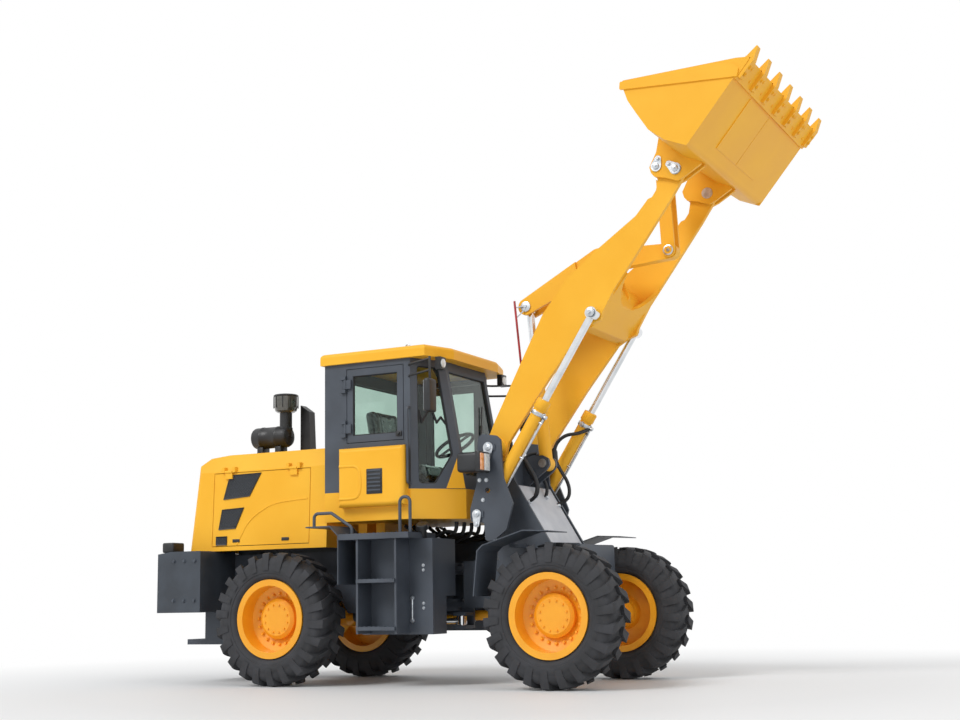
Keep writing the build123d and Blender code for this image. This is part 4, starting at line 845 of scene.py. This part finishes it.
# Tail lamps on the counterweight's shoulders
TAIL_LAMP_Y = 0.70
tail_shell, tail_red = bmesh.new(), bmesh.new()
for side in (-1, 1):
    rounded_block(tail_shell, (REAR_X - 1.345, side * TAIL_LAMP_Y - 0.085, 1.206),
                  (REAR_X - 1.215, side * TAIL_LAMP_Y + 0.085, 1.300), 0.014, 3)
    rounded_block(tail_red, (REAR_X - 1.353, side * TAIL_LAMP_Y - 0.070, 1.220),
                  (REAR_X - 1.340, side * TAIL_LAMP_Y + 0.070, 1.288), 0.005, 2)
finish_piece(tail_shell, "tail_lamp_shells", "rear_frame", black_abs)
finish_piece(tail_red, "tail_lamp_lenses", "rear_frame", red_lens)

# Driver's seat: sprung base, and two pads blown up from remeshed blanks
PAD_SWELL = 0.016


def stuffed_pad(name, low, high, turn, pivot, channels):
    """A stitched foam pad: a blank, swollen as cloth under pressure, with sewn channels pressed in."""
    blank = bmesh.new()
    rounded_block(blank, low, high, 0.028, 3)
    source = bpy.data.meshes.new(name + "_blank")
    blank.to_mesh(source)
    blank.free()
    pad = bpy.data.objects.new(name + "_blank", source)
    bpy.context.scene.collection.objects.link(pad)
    remesh = pad.modifiers.new("even_mesh", "REMESH")
    remesh.mode = "VOXEL"
    remesh.voxel_size = 0.008
    view = bpy.context.evaluated_depsgraph_get
    even = bpy.data.meshes.new_from_object(pad.evaluated_get(view()))
    pad.modifiers.clear()
    pad.data = even
    start = [v.co.copy() for v in even.vertices]
    cloth = pad.modifiers.new("pressure", "CLOTH")
    cloth.settings.use_pressure = True
    cloth.settings.uniform_pressure_force = 4.0
    cloth.settings.effector_weights.gravity = 0.0
    cloth.point_cache.frame_end = 20
    for step in range(1, 21):
        bpy.context.scene.frame_set(step)
    swollen = bpy.data.meshes.new_from_object(pad.evaluated_get(view()))
    pad.modifiers.clear()
    pad.data = swollen
    for vertex, old in zip(swollen.vertices, start):
        move = vertex.co - old
        if move.length > PAD_SWELL:
            vertex.co = old + move.normalized() * PAD_SWELL
    bpy.context.scene.frame_set(1)
    bm = bmesh.new()
    bm.from_mesh(pad.data)
    bpy.data.objects.remove(pad)
    middle = (Vector(low) + Vector(high)) / 2
    for v in bm.verts:
        for place in channels:
            gap = (v.co.y - place) / 0.016
            v.co += (middle - v.co) * 0.10 * max(0.0, 1 - gap * gap) ** 2
    bmesh.ops.rotate(bm, verts=bm.verts, cent=pivot, matrix=turn)
    piece = finish_piece(bm, name, "rear_frame", vinyl_with_painted_sheen)
    return piece


seat_base = bmesh.new()
rounded_block(seat_base, from_axle(-1.980, -0.20, 1.4603), from_axle(-1.560, 0.20, 1.56), 0.02, 3)
for i in range(5):
    grow = 0.012 * (i % 2)
    rounded_block(seat_base, from_axle(-1.940 - grow, -0.16 - grow, 1.56 + i * 0.045),
                  from_axle(-1.600 + grow, 0.16 + grow, 1.61 + i * 0.045), 0.015, 2)
seat_stand = finish_piece(seat_base, "seat_bellows_base", "rear_frame", black_abs)
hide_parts("seat")
level_turn, back_turn = Matrix.Rotation(radians(-4), 3, "Y"), Matrix.Rotation(radians(-8), 3, "Y")
hip = from_axle(-1.960, 0, 1.86)
stuffed_pad("seat_cushion", from_axle(-1.975, -0.235, 1.805), from_axle(-1.515, 0.235, 1.905), level_turn,
            hip, (-0.15, 0.15))
stuffed_pad("seat_backrest", from_axle(-2.060, -0.230, 1.915), from_axle(-1.965, 0.230, 2.490), back_turn,
            hip, (-0.14, 0.14))


# Stage: pale floor that turns to plain white away from the machine, soft light
def rays_to_eye(tree):
    """Share of rays seen straight, in a reflection or through glass."""
    seen = add_node(tree, "ShaderNodeLightPath")
    direct = add_node(tree, "ShaderNodeMath",
                      {0: seen.outputs["Is Camera Ray"], 1: seen.outputs["Is Glossy Ray"]},
                      operation="MAXIMUM")
    through = add_node(tree, "ShaderNodeMath", {0: direct.outputs[0], 1: seen.outputs["Is Transmission Ray"]},
                       operation="MAXIMUM")
    return through.outputs[0]


floor_bm = bmesh.new()
bmesh.ops.create_circle(floor_bm, cap_ends=True, segments=96, radius=60.0)
bmesh.ops.translate(floor_bm, verts=floor_bm.verts, vec=(0, 0, -0.001))
floor_mesh = bpy.data.meshes.new("studio_floor")
floor_bm.to_mesh(floor_mesh)
floor_bm.free()
floor = bpy.data.objects.new("studio_floor", floor_mesh)
bpy.context.scene.collection.objects.link(floor)
floor_finish, tree, where, shader = new_finish("pale_studio_floor")
shader.inputs["Base Color"].default_value = srgb("#E9EAEB")
shader.inputs["Roughness"].default_value = 0.6
length = add_node(tree, "ShaderNodeVectorMath", {0: where}, operation="LENGTH")
fade = add_node(tree, "ShaderNodeMapRange",
                {"Value": length.outputs["Value"], "From Min": 3.5, "From Max": 8.0})
white = add_node(tree, "ShaderNodeEmission", {"Color": (1, 1, 1, 1), "Strength": 1.0})
share = add_node(tree, "ShaderNodeMath", {0: rays_to_eye(tree), 1: fade.outputs[0]}, operation="MULTIPLY")
blend = add_node(tree, "ShaderNodeMixShader",
                 {0: share.outputs[0], 1: shader.outputs[0], 2: white.outputs[0]})
output = next(n for n in tree.nodes if n.type == "OUTPUT_MATERIAL")
tree.links.new(blend.outputs[0], output.inputs["Surface"])
floor_mesh.materials.append(floor_finish)

world = bpy.data.worlds.new("studio_world")
world.use_nodes = True
bpy.context.scene.world = world
tree = world.node_tree
backdrop = tree.nodes["Background"]
backdrop.inputs["Color"].default_value = (1, 1, 1, 1)
level = add_node(tree, "ShaderNodeMapRange", {"Value": rays_to_eye(tree), "To Min": 0.55, "To Max": 1.0})
tree.links.new(level.outputs[0], backdrop.inputs["Strength"])

for name, energy, angle, tilt in (("key_sun", 1.5, 22, (48, 0, -22)), ("fill_sun", 0.5, 60, (60, 0, 70))):
    sun = bpy.data.lights.new(name, "SUN")
    sun.energy = energy
    sun.angle = radians(angle)
    lamp = bpy.data.objects.new(name, sun)
    lamp.rotation_euler = [radians(a) for a in tilt]
    bpy.context.scene.collection.objects.link(lamp)
